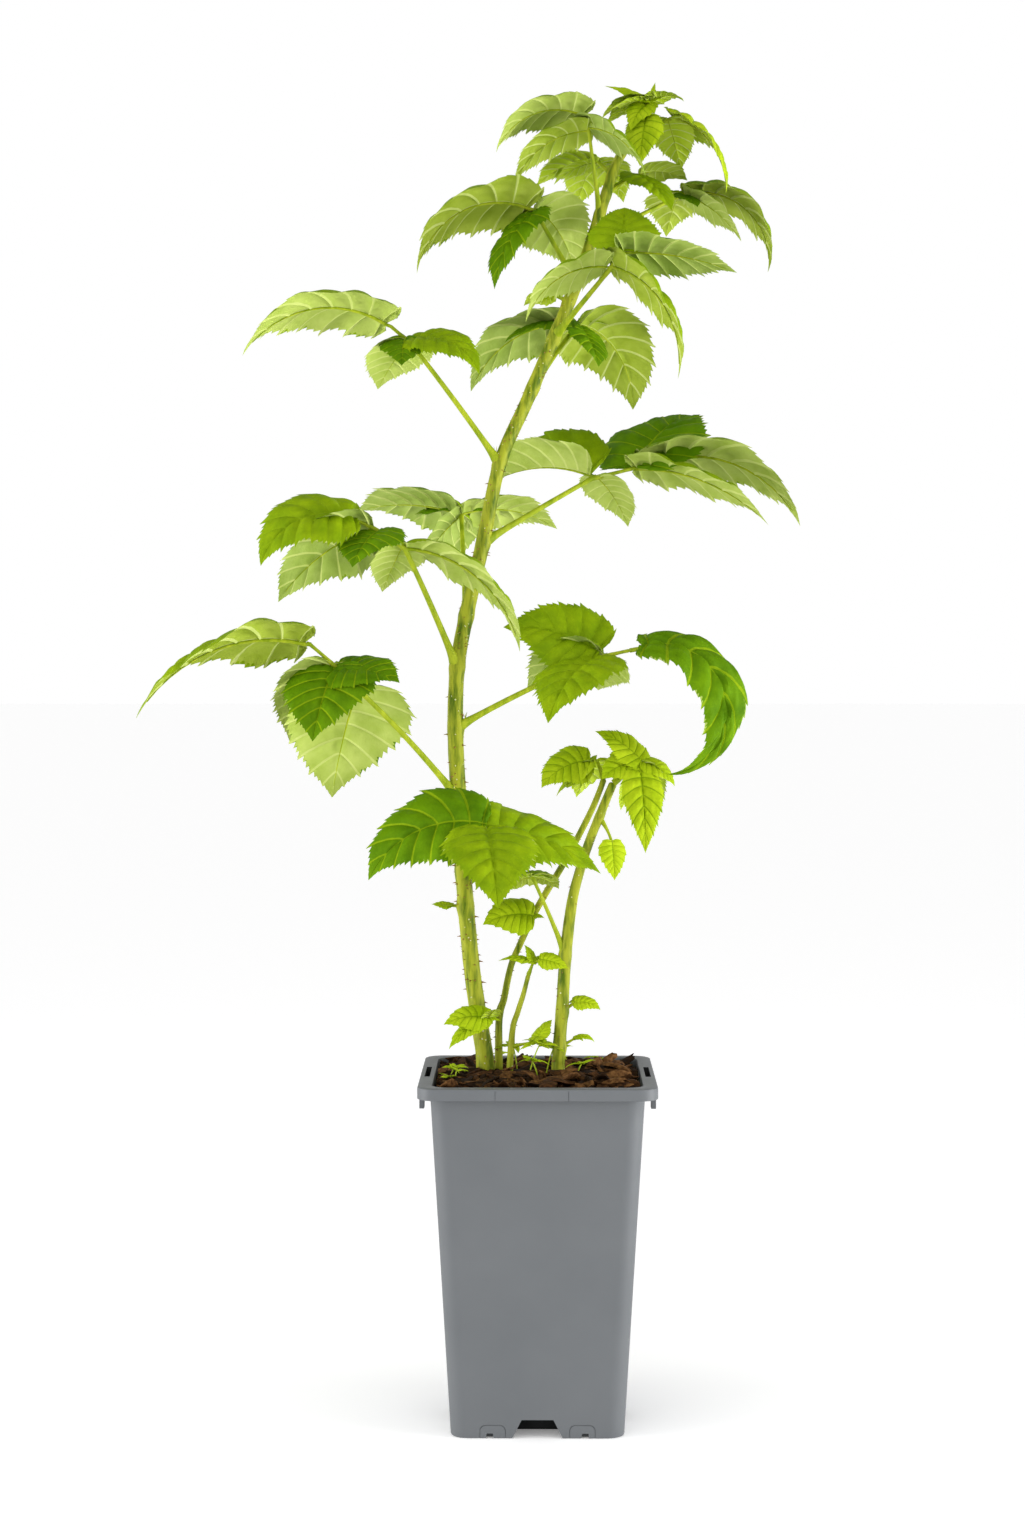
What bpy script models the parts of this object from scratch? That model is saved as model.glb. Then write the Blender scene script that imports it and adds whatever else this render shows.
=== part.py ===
"""A raspberry cane in a square pot: four canes, their leaf stalks and their compound leaves.

The pot stands on the ground with the middle of its floor at the origin. +X is to the right and
+Y points away as the plant is looked at from its front. Named sizes are in millimetres and
angles in degrees; headings are turned from +X towards +Y. MM turns lengths into Blender's metres.
"""
import math
from typing import NamedTuple

import bmesh
import bpy
from mathutils import Matrix, Quaternion, Vector
from mathutils.geometry import intersect_point_line

MM = 0.001
GAP = 0.3

# Pot
POT_HEIGHT = 222
BASE_WIDTH = 108
NECK_WIDTH = 135
RIM_WIDTH = 150
RIM_HEIGHT = 9
WALL = 1.6
CORNER_RADIUS = 11
CORNER_STEPS = 4
CLIP_DROP = 5
CLIP_SIZE = (3, 14)
RIM_SLOT = (3, 44)
NOTCH_FOOT = 33
NOTCH_TOP = 20
NOTCH_HEIGHT = 12
NOTCH_DEPTH = 22
DRAIN_SIZE = (5, 3.3)
DRAIN_PLACE = 30

# Compost and bark
SOIL_TOP = 221
SOIL_EDGE = 213
SOIL_SHOULDER = 9

# Leaf blades: rows and columns of the grid for leaflets up to each length
BLADE_GRIDS = ((32, (3, 2)), (56, (4, 2)), (math.inf, (5, 4)))
# Thickness at the midrib as a share of the length, and the least of it
BLADE_THICKNESS = 0.015
THINNEST_BLADE = 0.5
BLADE_ARCH = 0.35
VEIN_SWEEP = 1.2

# Leaf stems: a leaflet on a stem longer than SESSILE has a rib, and any other is sunk in its rachis
SESSILE = 2
ROOT_SUNK = 1
RIB_END = 0.12
RIB_THICKNESS = 0.011
THINNEST_RIB = 0.6
STEM_TAPER = 0.7
HUB_LENGTH = 3
STALK_STEP = 28

# How finely a stalk's end is brought up to its cane
CLEAR_STEP = 0.1
RIM_POINTS = 12

# Vertices closer than this are one, in metres
WELD = 1e-6

# Where each side vein leaves the midrib, as a share of the leaflet's length
VEIN_STARTS = (0.0, 0.03, 0.12, 0.23, 0.35, 0.48, 0.62, 0.78, 1.0)
# Where each side vein meets the margin: share of the length, share of the half width
VEIN_ENDS = (
    (-0.03, 0.30), (0.00, 0.68), (0.17, 0.97), (0.36, 1.00), (0.53, 0.83),
    (0.68, 0.61), (0.80, 0.39), (0.90, 0.17), (1.00, 0.00),
)


class Colour(NamedTuple):
    """A plain finish: its base colour and roughness."""

    rgb: tuple
    roughness: float


POT_GREY = Colour((0.19, 0.20, 0.21), 0.55)
BARK_BROWN = Colour((0.09, 0.045, 0.022), 0.9)
CANE_GREEN = Colour((0.36, 0.46, 0.10), 0.5)
LEAF_GREEN = Colour((0.16, 0.38, 0.04), 0.5)
SHOOT_GREEN = Colour((0.38, 0.58, 0.05), 0.5)


class Station(NamedTuple):
    """A point on a cane's middle line, with the cane's radius there."""

    height: float
    x: float
    y: float
    radius: float


class Stalk(NamedTuple):
    """A stem that leaves at a heading and rise, and bends down by droop and aside by turn."""

    heading: float
    rise: float
    droop: float
    length: float
    turn: float = 0


class Leaflet(NamedTuple):
    """One blade, along its leaf's rachis.

    Roll tips its upper side to its right, twist adds to that along it, and fold is how far each
    half rises from its midrib.
    """

    along: float
    heading: float
    rise: float
    droop: float
    length: float
    width: float
    roll: float = 0
    stem: float = 2
    turn: float = 0
    twist: float = 0
    fold: float = 14


class Leaf(NamedTuple):
    """A compound leaf: its node on a cane, its stalk, its rachis and its leaflets."""

    name: str
    cane: str
    node: float
    stalk: Stalk
    radius: float
    rachis: Stalk
    leaflets: tuple
    has_bough: bool = True
    colour: Colour = LEAF_GREEN


CANES = {
    "cane_main": (
        Station(SOIL_TOP + GAP, -33.5, 5, 7.0), Station(232, -34, 5, 5.8), Station(262, -38.5, 5, 5.4),
        Station(296, -43, 5, 5.3), Station(347, -47.5, 3, 5.2), Station(402, -51, 0, 5.1),
        Station(446, -53, 0, 5.0), Station(485, -51.5, -2, 4.8), Station(519, -45.5, 0, 4.7),
        Station(565, -35, 2, 4.5), Station(615, -24, 0, 4.2), Station(655, -6.5, 1, 4.1),
        Station(697, 11.5, 0, 4.0), Station(729, 25, -1, 3.8), Station(772, 39.5, -2, 3.4),
        Station(799, 48, -1, 3.0), Station(816, 56, 0, 2.7), Station(838, 68.5, 1, 2.2),
    ),
    "cane_right": (
        Station(SOIL_TOP + GAP, 13, -4, 5.0), Station(232, 13.5, -4, 4.2), Station(267, 16, -3, 4.0),
        Station(299, 18, -2, 3.9), Station(329, 21.5, -2, 3.5), Station(345, 24.7, -2, 3.2),
        Station(369, 32, -2, 3.0), Station(392, 41, -2, 2.8), Station(410, 48.5, -2, 2.6),
    ),
    "cane_back": (
        Station(SOIL_TOP + GAP, -25, 15, 2.8), Station(255, -25, 15, 2.3), Station(269, -21.8, 15, 2.2),
        Station(290, -17.3, 16, 2.1), Station(305, -11, 17, 2.1), Station(321, -3.8, 17, 2.2),
        Station(337, 5, 17, 2.2), Station(360, 18.6, 16, 2.1), Station(391, 34.6, 14, 2.0),
        Station(412, 43, 13, 1.8),
    ),
    "cane_thin": (
        Station(SOIL_TOP + GAP, -18.6, -2, 2.4), Station(249, -16.3, -1, 1.9), Station(262, -12.8, 0, 1.8),
        Station(274, -9, 1, 1.6), Station(286, -6, 2, 1.3),
    ),
}

LEAVES = (
    Leaf("low_front", "cane_main", 352, Stalk(-60, 34, 0, 52, -15), 2.2, Stalk(-100, 30, 10, 12), (
        Leaflet(12, -172, 14, 78, 88, 64, -42),
        Leaflet(12, -82, -16, 44, 74, 58, 0, 10),
        Leaflet(11, 14, -7, 32, 84, 58, 34),
    )),
    Leaf("low_left", "cane_main", 400, Stalk(-152, 49, 8, 96), 2.2, Stalk(-160, 46, 8, 48), (
        Leaflet(4, 119, -50, 22, 82, 80, 10),
        Leaflet(26, 128, -34, 20, 72, 60, 8),
        Leaflet(24, -104, -32, 26, 66, 58, 0),
        Leaflet(22, -24, 6, 34, 46, 50, 24),
        Leaflet(46, -166, 13, 74, 124, 60, 30, 3, twist=-32),
    )),
    Leaf("low_right", "cane_main", 445, Stalk(-5, 30, 8, 100), 2.2, Stalk(2, 20, 10, 24), (
        Leaflet(3, -122, -8, 52, 74, 58, 0, 3),
        Leaflet(8, 170, 32, 36, 66, 52, -58, 5),
        Leaflet(7, 98, -34, 5, 38, 38, 28),
        Leaflet(9, 134, 6, 46, 76, 50, 30, 4),
        Leaflet(24, -16, 16, 190, 138, 44, 30, 8),
    )),
    Leaf("mid_left", "cane_main", 484, Stalk(-129, 58, 4, 90), 2.2, Stalk(-160, 34, 12, 42), (
        Leaflet(37, -162, 22, 96, 76, 54, -36),
        Leaflet(24, 166, -16, 40, 80, 60, 32),
        Leaflet(20, -112, -14, 36, 46, 44, 0),
        Leaflet(1, 12, -2, 78, 108, 42, -14),
        Leaflet(2, 118, -38, 10, 42, 34, 0),
    )),
    Leaf("mid_back", "cane_main", 517, Stalk(95, 53, 0, 82), 1.9, Stalk(95, 50, 0, 4), (
        Leaflet(3, 155, 18, 30, 80, 66, 24),
        Leaflet(3, 22, 18, 50, 72, 50, -24),
        Leaflet(4, 92, 10, 60, 84, 58, 0, 4),
        Leaflet(2, -168, -40, 20, 46, 34, 34),
    )),
    Leaf("mid_right", "cane_main", 564, Stalk(16, 31, 2, 84), 2.2, Stalk(14, 14, 0, 33), (
        Leaflet(3, 160, 22, 50, 72, 64, -8, 4, fold=46),
        Leaflet(4, 44, -30, 34, 44, 42, 0),
        Leaflet(31, 52, 52, 44, 80, 78, 4),
        Leaflet(33, -8, 22, 88, 120, 58, -26, 4),
        Leaflet(30, -21, 0, 46, 102, 50, -22),
    )),
    Leaf("high_left", "cane_main", 614, Stalk(-154, 52, 4, 96), 2.0, Stalk(-162, 38, 0, 18), (
        Leaflet(17, -164, 30, 88, 104, 62, 18, 3),
        Leaflet(2, 124, -26, 18, 48, 46, 0),
        Leaflet(2, -24, 18, 84, 60, 40, 24),
        Leaflet(5, -92, -24, 26, 34, 32, 0),
    )),
    Leaf("high_back", "cane_main", 662, Stalk(58, 42, 4, 70), 1.8, Stalk(60, 30, 0, 4), (
        Leaflet(3, 160, 8, 76, 90, 62, 18, 3),
        Leaflet(2, -162, 4, 40, 50, 42, -8, 3),
        Leaflet(3, -66, -30, 30, 42, 40, -24, 3),
        Leaflet(3, 42, 0, 92, 82, 62, -24),
        Leaflet(4, 96, 14, 60, 76, 54, 0, 4),
    )),
    Leaf("high_right", "cane_main", 695, Stalk(-48, 36, 0, 62), 2.0, Stalk(-40, 46, 4, 18), (
        Leaflet(3, -168, 4, 78, 68, 50, 20, 3),
        Leaflet(4, -26, -16, 84, 94, 50, -28),
        Leaflet(15, -16, 0, 24, 76, 44, -30),
        Leaflet(17, 88, 66, 34, 42, 44, 0),
    )),
    Leaf("upper_left", "cane_main", 728, Stalk(-160, 58, 0, 50), 1.9, Stalk(-165, 56, 0, 5), (
        Leaflet(4, -162, 18, 98, 98, 60, 26, 3),
        Leaflet(2, -136, -30, 50, 66, 38, 4),
        Leaflet(4, 52, -6, 66, 58, 50, -32),
    )),
    Leaf("upper_right", "cane_main", 756, Stalk(34, 27, 2, 78), 1.7, Stalk(20, 24, 0, 6), (
        Leaflet(5, -4, 12, 112, 88, 56, -10, 2),
        Leaflet(3, -16, -20, 40, 52, 34, -24),
        Leaflet(2, -60, -20, 20, 22, 18, 0),
        Leaflet(3, 100, 10, 60, 60, 44, 0),
    )),
    Leaf("top_left", "cane_main", 772, Stalk(-116, 71, 0, 52), 1.5, Stalk(-140, 66, 0, 12), (
        Leaflet(11, -166, 22, 92, 70, 46, 22, 2),
        Leaflet(1, 176, 0, 70, 62, 34, 24),
        Leaflet(3, -34, -6, 66, 60, 42, -24),
    )),
    Leaf("top_back", "cane_main", 797, Stalk(115, 30, 0, 22), 1.4, Stalk(120, 20, 0, 4), (
        Leaflet(3, 152, 12, 54, 48, 32, 20),
        Leaflet(1, 172, 0, 50, 34, 24, 10),
        Leaflet(3, 108, -8, 50, 46, 32, 0, 3),
        Leaflet(2, 60, 0, 60, 44, 30, -10),
    ), False, SHOOT_GREEN),
    Leaf("top_right", "cane_main", 812, Stalk(14, 42, 12, 36), 1.4, Stalk(12, 24, 0, 5), (
        Leaflet(5, -26, -16, 76, 68, 42, -14, 2),
        Leaflet(1, 66, -44, 10, 38, 30, 0),
    ), False, SHOOT_GREEN),
    Leaf("upper_back", "cane_main", 785, Stalk(48, 30, 0, 28), 1.3, Stalk(40, 15, 0, 4), (
        Leaflet(3, -46, -18, 40, 44, 36, 0),
        Leaflet(3, 22, 22, 50, 36, 34, -18, 3),
        Leaflet(1, 176, -26, 20, 26, 16, 0),
    ), False),
    Leaf("cane_tip", "cane_main", 838, Stalk(20, 62, 0, 5), 1.4, Stalk(10, 60, 0, 3), (
        Leaflet(2, 176, 24, 10, 32, 14, -30),
        Leaflet(0, -106, -52, 24, 38, 24, 0, 12),
        Leaflet(2, -150, 4, 40, 34, 13, 20),
        Leaflet(3, -4, 30, 40, 18, 12, 20),
        Leaflet(3, 40, 78, 8, 13, 6, 0),
    ), False, SHOOT_GREEN),
    Leaf("upper_bud", "cane_main", 717, Stalk(178, 24, 0, 9), 1.1, Stalk(178, 0, 0, 3), (
        Leaflet(2, 172, 14, 60, 22, 20, 24),
        Leaflet(2, -150, -10, 30, 12, 10, 0),
    ), False, SHOOT_GREEN),
    Leaf("right_top", "cane_right", 416, Stalk(-5, 38, 0, 20), 1.4, Stalk(0, 20, 0, 3), (
        Leaflet(2, -166, 4, 50, 30, 28, -50),
        Leaflet(3, 170, 50, 34, 38, 24, -40),
        Leaflet(3, 0, -6, 60, 28, 22, 30),
        Leaflet(2, 60, -44, 30, 44, 26, 0),
        Leaflet(1, -84, -44, 44, 58, 26, 0, 6),
        Leaflet(1, 130, -56, 10, 28, 16, 0, 8),
        Leaflet(3, 95, 20, 60, 36, 26, 0),
    ), False, SHOOT_GREEN),
    Leaf("right_hanging", "cane_right", 388, Stalk(-20, -50, 20, 16), 1.1, Stalk(-20, -70, 0, 3), (
        Leaflet(2, -70, -76, 6, 26, 18, 0),
    ), False, SHOOT_GREEN),
    Leaf("right_low", "cane_right", 299, Stalk(-160, 68, 4, 54), 1.6, Stalk(160, 50, 0, 4), (
        Leaflet(3, 100, 14, 50, 42, 34, 4),
        Leaflet(2, 174, -6, 40, 30, 22, 24),
        Leaflet(2, 40, 0, 40, 26, 22, -20),
    )),
    Leaf("back_top", "cane_back", 413, Stalk(140, 62, 0, 12), 1.2, Stalk(160, 20, 0, 3), (
        Leaflet(2, -168, 0, 56, 38, 34, -42, 3),
        Leaflet(2, 166, -30, 24, 36, 32, -20),
        Leaflet(1, 120, -34, 20, 36, 26, 0),
        Leaflet(2, 80, 10, 50, 36, 26, 0),
    ), False, SHOOT_GREEN),
    Leaf("back_low", "cane_back", 318, Stalk(-80, 30, 0, 11), 1.1, Stalk(-100, 10, 0, 3), (
        Leaflet(2, -170, 12, 42, 34, 32, -44),
        Leaflet(1, 10, 20, 60, 10, 8, 20),
    ), False, SHOOT_GREEN),
    Leaf("thin_top", "cane_thin", 286, Stalk(-30, 66, 0, 9), 0.9, Stalk(-40, 20, 0, 8), (
        Leaflet(1, 178, 24, 44, 25, 10, -20),
        Leaflet(1, 160, 68, 20, 14, 9, -20),
        Leaflet(7, -14, -4, 24, 20, 12, 60),
        Leaflet(3, 60, 34, 40, 13, 9, 0),
    ), False, SHOOT_GREEN),
    Leaf("main_bud", "cane_main", 330, Stalk(178, 4, 0, 9), 0.9, Stalk(178, 0, 0, 2), (
        Leaflet(1, 168, 12, 20, 14, 11, -20),
        Leaflet(1, -125, 6, 20, 9, 7, 0),
    ), False, SHOOT_GREEN),
    Leaf("base_left", "cane_back", 261, Stalk(-105, -4, 0, 25), 0.9, Stalk(-140, 10, 0, 3), (
        Leaflet(2, -178, 14, 44, 30, 21, -44),
        Leaflet(1, -166, -16, 40, 34, 15, -34),
        Leaflet(1, -60, 50, 40, 16, 13, 0),
        Leaflet(1, 0, 4, 30, 9, 6, 20),
    ), False, SHOOT_GREEN),
    Leaf("base_right", "cane_right", 263, Stalk(-4, 36, 0, 9), 0.9, Stalk(0, 30, 0, 2), (
        Leaflet(1, -6, 16, 60, 19, 13, 40),
        Leaflet(1, 70, 20, 50, 15, 10, 0),
    ), False, SHOOT_GREEN),
    Leaf("right_foot", "cane_right", 240, Stalk(0, 30, 0, 11), 0.8, Stalk(0, 40, 0, 2), (
        Leaflet(1, -4, 34, 90, 15, 6, 30),
        Leaflet(1, -50, 10, 40, 9, 5, 0),
    ), False, SHOOT_GREEN),
    Leaf("thin_low", "cane_thin", 240, Stalk(-24, 14, 0, 18), 0.9, Stalk(-10, 60, 0, 3), (
        Leaflet(2, 40, 58, 30, 18, 15, 0),
        Leaflet(2, -10, 40, 30, 12, 5, 10),
        Leaflet(1, -30, -24, 10, 12, 6, 20),
        Leaflet(1, -170, -24, 10, 14, 6, -20),
        Leaflet(3, -110, 10, 40, 13, 10, 0),
    ), False, SHOOT_GREEN),
)


def direction(heading, rise):
    """The unit vector at a compass heading and a rise above level."""
    compass = math.radians(heading)
    climb = math.radians(rise)
    level = math.cos(climb)
    return Vector((math.cos(compass) * level, math.sin(compass) * level, math.sin(climb)))


class Arc:
    """The middle line of a stalk or midrib, whose direction changes evenly along it."""

    STEPS = 24

    def __init__(self, start, heading, rise, droop, length, turn=0):
        self.heading, self.rise, self.droop, self.turn = heading, rise, droop, turn
        self.length = length
        self.points = [Vector(start)]
        for step in range(self.STEPS):
            ahead = self.direction((step + 0.5) / self.STEPS)
            self.points.append(self.points[-1] + ahead * (length / self.STEPS))

    def direction(self, share):
        share = min(max(share, 0), 1)
        return direction(self.heading + self.turn * share, self.rise - self.droop * share)

    def point(self, share):
        if share <= 0:
            return self.points[0] + self.direction(0) * (share * self.length)
        if share >= 1:
            return self.points[-1] + self.direction(1) * ((share - 1) * self.length)
        step, part = divmod(share * self.STEPS, 1)
        step = int(step)
        return self.points[step].lerp(self.points[step + 1], part)

    def upward(self, share):
        share = min(max(share, 0), 1)
        return direction(self.heading + self.turn * share, self.rise - self.droop * share + 90)


def collection(name):
    made = bpy.data.collections.new(name)
    bpy.context.scene.collection.children.link(made)
    return made


def material(name, colour):
    made = bpy.data.materials.new(name)
    made.use_nodes = True
    shader = made.node_tree.nodes["Principled BSDF"]
    shader.inputs["Base Color"].default_value = (*colour.rgb, 1)
    shader.inputs["Roughness"].default_value = colour.roughness
    shader.inputs["Metallic"].default_value = 0
    made.diffuse_color = (*colour.rgb, 1)
    return made


def mesh_object(name, mesh, home, colour=None):
    made = bpy.data.objects.new(name, mesh)
    home.objects.link(made)
    if colour:
        mesh.materials.clear()
        mesh.materials.append(material(name, colour))
    return made


def shape_object(name, shape, home, colour=None):
    mesh = bpy.data.meshes.new(name)
    shape.to_mesh(mesh)
    shape.free()
    return mesh_object(name, mesh, home, colour)


def as_tool(tool):
    """Marks a cutter or a joining shape, which is not a piece of the object."""
    tool.hide_render = True
    tool.display_type = "WIRE"
    return tool


def boolean(target, operation, tool, solver="EXACT"):
    cut = target.modifiers.new(operation.title(), "BOOLEAN")
    cut.operation = operation
    cut.solver = solver
    if isinstance(tool, bpy.types.Collection):
        cut.operand_type = "COLLECTION"
        cut.collection = tool
    else:
        cut.object = tool


def evaluated_mesh(source):
    bpy.context.view_layer.update()
    graph = bpy.context.evaluated_depsgraph_get()
    return bpy.data.meshes.new_from_object(source.evaluated_get(graph))


def square_block(name, home, low_width, high_width, low, high, radius=0, colour=None):
    """An upright block that widens evenly, with its four upright edges rounded."""
    shape = bmesh.new()
    bmesh.ops.create_cube(shape, size=1)
    for vert in shape.verts:
        width, height = (high_width, high) if vert.co.z > 0 else (low_width, low)
        vert.co = Vector((vert.co.x * width, vert.co.y * width, height)) * MM
    if radius:
        upright = [edge for edge in shape.edges if abs(edge.verts[0].co.z - edge.verts[1].co.z) > MM]
        bmesh.ops.bevel(
            shape, geom=upright, offset=radius * MM, offset_type="OFFSET",
            segments=CORNER_STEPS, profile=0.5, affect="EDGES",
        )
    return shape_object(name, shape, home, colour)


def side_block(name, home, foot, top, low, high, near, far, side, place=0):
    """A block with a trapezoid front, in one of the four sides; near and far are from the middle."""
    shape = bmesh.new()
    bmesh.ops.create_cube(shape, size=1)
    for vert in shape.verts:
        width, height = (top, high) if vert.co.z > 0 else (foot, low)
        depth = -near if vert.co.y > 0 else -far
        vert.co = Vector((vert.co.x * width + place, depth, height)) * MM
    bmesh.ops.rotate(shape, verts=shape.verts, matrix=Matrix.Rotation(side * math.pi / 2, 3, "Z"))
    return as_tool(shape_object(name, shape, home))


def notch_hoods(name, home, clearance):
    """The hollow box behind each foot notch, grown by a clearance."""
    grown = WALL + clearance
    half = BASE_WIDTH / 2
    for side in range(4):
        side_block(
            f"{name}_{side}", home, NOTCH_FOOT + 2 * grown, NOTCH_TOP + 2 * grown,
            0, NOTCH_HEIGHT + grown,
            half - NOTCH_DEPTH - grown, half - WALL / 2, side,
        )


def build_pot(home):
    tools = collection("pot_tools")
    hoods = collection("pot_hoods")
    cutters = collection("pot_cutters")
    mouth = NECK_WIDTH - 2 * WALL
    pot = square_block("pot", home, BASE_WIDTH, NECK_WIDTH, 0, POT_HEIGHT, CORNER_RADIUS, POT_GREY)

    rim = as_tool(square_block(
        "rim", tools, RIM_WIDTH, RIM_WIDTH, POT_HEIGHT - RIM_HEIGHT, POT_HEIGHT, CORNER_RADIUS,
    ))
    groove = as_tool(square_block(
        "rim_groove", tools, RIM_WIDTH - 2 * WALL, RIM_WIDTH - 2 * WALL,
        POT_HEIGHT - RIM_HEIGHT - 1, POT_HEIGHT - WALL, CORNER_RADIUS - WALL,
    ))
    boolean(rim, "DIFFERENCE", groove)
    boolean(pot, "UNION", rim)

    cavity = as_tool(square_block(
        "cavity", tools, BASE_WIDTH - 2 * WALL, mouth, WALL, POT_HEIGHT + 0.5, CORNER_RADIUS - WALL,
    ))
    boolean(pot, "DIFFERENCE", cavity)

    notch_hoods("hood", hoods, 0)
    clip_depth, clip_width = CLIP_SIZE
    half_rim = RIM_WIDTH / 2
    for side in (1, 3):
        side_block(
            f"clip_{side}", hoods, clip_width, clip_width, POT_HEIGHT - RIM_HEIGHT - CLIP_DROP,
            POT_HEIGHT - WALL / 2, half_rim - WALL / 2 - clip_depth, half_rim - WALL / 2, side,
        )
    boolean(pot, "UNION", hoods)

    half = BASE_WIDTH / 2
    drain_width, drain_height = DRAIN_SIZE
    for side in range(4):
        side_block(
            f"notch_{side}", cutters, NOTCH_FOOT, NOTCH_TOP, -1, NOTCH_HEIGHT,
            half - NOTCH_DEPTH, half + 6, side,
        )
        for place in (-DRAIN_PLACE, DRAIN_PLACE):
            side_block(
                f"drain_{side}_{'left' if place < 0 else 'right'}", cutters, drain_width, drain_width,
                -1, drain_height, half - 3 * WALL, half + 6, side, place,
            )
    slot_width, slot_length = RIM_SLOT
    slot_middle = (half_rim + mouth / 2) / 2
    for side in (1, 3):
        side_block(
            f"slot_{side}", cutters, slot_length, slot_length, POT_HEIGHT - 2 * WALL, POT_HEIGHT + 1,
            slot_middle - slot_width / 2, slot_middle + slot_width / 2, side,
        )
    boolean(pot, "DIFFERENCE", cutters)
    return pot


def build_bark(home):
    """The compost and bark that fill the pot, clear of its walls and of the notch hoods."""
    slope = (NECK_WIDTH - BASE_WIDTH) / POT_HEIGHT
    inset = 2 * (WALL + GAP)
    low = WALL + GAP
    low_width = BASE_WIDTH + slope * low - inset
    edge_width = BASE_WIDTH + slope * SOIL_EDGE - inset
    top_width = edge_width - 2 * SOIL_SHOULDER
    bark = square_block("bark", home, low_width, edge_width, low, SOIL_EDGE, CORNER_RADIUS - WALL, BARK_BROWN)
    top = as_tool(square_block(
        "bark_top", collection("bark_tools"), edge_width, top_width, SOIL_EDGE - 1, SOIL_TOP,
        CORNER_RADIUS - WALL,
    ))
    hoods = collection("bark_hoods")
    notch_hoods("bark_hood", hoods, GAP)
    boolean(bark, "UNION", top)
    boolean(bark, "DIFFERENCE", hoods)
    return bark


def tube(name, home, points, radii, sides, colour=None):
    """A closed tube through points in millimetres, with a radius at each."""
    curve = bpy.data.curves.new(name, "CURVE")
    curve.dimensions = "3D"
    curve.bevel_depth = MM
    curve.bevel_resolution = (sides - 4) // 2
    curve.use_fill_caps = True
    line = curve.splines.new("POLY")
    line.points.add(len(points) - 1)
    for knot, point, radius in zip(line.points, points, radii):
        knot.co = (*(Vector(point) * MM), 1)
        knot.radius = radius
    source = bpy.data.objects.new(name + "_line", curve)
    home.objects.link(source)
    mesh = evaluated_mesh(source)
    bpy.data.objects.remove(source)
    shape = bmesh.new()
    shape.from_mesh(mesh)
    bmesh.ops.remove_doubles(shape, verts=shape.verts, dist=WELD)
    bmesh.ops.recalc_face_normals(shape, faces=shape.faces)
    shape.to_mesh(mesh)
    shape.free()
    mesh.name = name
    return mesh_object(name, mesh, home, colour)


def smooth_route(stations, parts=2):
    """Points and radii on a smooth line through a cane's stations."""
    ends = [stations[0], *stations, stations[-1]]
    points, radii = [], []
    for before, first, second, after in zip(ends, ends[1:], ends[2:], ends[3:]):
        for step in range(parts):
            t = step / parts
            values = []
            for a, b, c, d in zip(before, first, second, after):
                bend = 2 * a - 5 * b + 4 * c - d
                twist = 3 * (b - c) + d - a
                values.append(b + 0.5 * t * (c - a + t * (bend + t * twist)))
            height, x, y, radius = values
            points.append(Vector((x, y, height)))
            radii.append(radius)
    last = stations[-1]
    points.append(Vector((last.x, last.y, last.height)))
    radii.append(last.radius)
    return points, radii


def cane_at(route, height):
    """The cane's middle and direction at a height."""
    points, _ = route
    for low, high in zip(points, points[1:]):
        if low.z <= height <= high.z:
            return low.lerp(high, (height - low.z) / (high.z - low.z)), (high - low).normalized()
    return points[-1], (points[-1] - points[-2]).normalized()


def clearance(route, point):
    """How far a point lies outside a cane."""
    points, radii = route
    nearest = math.inf
    for low, high, low_radius, high_radius in zip(points, points[1:], radii, radii[1:]):
        share = min(max(intersect_point_line(point, low, high)[1], 0), 1)
        radius = low_radius + (high_radius - low_radius) * share
        nearest = min(nearest, (point - low.lerp(high, share)).length - radius)
    return nearest


def stalk_arc(start, stalk):
    return Arc(start, stalk.heading, stalk.rise, stalk.droop, stalk.length, stalk.turn)


def stalk_line(route, leaf):
    """A stalk's middle line from its cane's middle, and how far out its cut end is just clear."""
    middle, along = cane_at(route, leaf.node)
    stalk = stalk_arc(middle, leaf.stalk)
    if leaf.node >= route[0][-1].z:
        return stalk, GAP + leaf.radius * stalk.direction(0).cross(along).length
    clear = 0
    gap = -math.inf
    while gap < GAP:
        clear += CLEAR_STEP
        ahead = stalk.direction(clear / stalk.length)
        spoke = ahead.orthogonal().normalized() * leaf.radius
        centre = stalk.point(clear / stalk.length)
        turns = [Quaternion(ahead, math.tau * step / RIM_POINTS) for step in range(RIM_POINTS)]
        gap = min(clearance(route, centre + turn @ spoke) for turn in turns)
    return stalk, clear


def tapered(count, root, tip):
    return [root + (tip - root) * step / (count - 1) for step in range(count)]


def vein_point(row, across):
    """A blade's flat outline: shares of length and half width at a vein row and a share across."""
    last = len(VEIN_STARTS) - 1
    vein = min(int(row * last), last - 1)
    part = row * last - vein
    start = VEIN_STARTS[vein] + (VEIN_STARTS[vein + 1] - VEIN_STARTS[vein]) * part
    (x_a, y_a), (x_b, y_b) = VEIN_ENDS[vein], VEIN_ENDS[vein + 1]
    end_x = x_a + (x_b - x_a) * part
    end_y = y_a + (y_b - y_a) * part
    return start + (end_x - start) * abs(across) ** VEIN_SWEEP, end_y * across


def blade_point(leaflet, arc, row, across, layer):
    """A point of a leaflet's surface; layer is 1 on the upper side and -1 on the under side."""
    along, aside = vein_point(row, across)
    ahead = arc.direction(along)
    turned = Quaternion(ahead, math.radians(leaflet.roll + leaflet.twist * along))
    up = turned @ arc.upward(along)
    left = up.cross(ahead)
    half = leaflet.width / 2
    lift = abs(aside) * math.tan(math.radians(leaflet.fold)) - BLADE_ARCH * aside * aside
    inside = 0 if row == 1 else 1 - across * across
    thick = max(THINNEST_BLADE, leaflet.length * BLADE_THICKNESS) / 2 * inside
    return arc.point(along) + left * (half * aside) + up * (half * lift + layer * thick)


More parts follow.
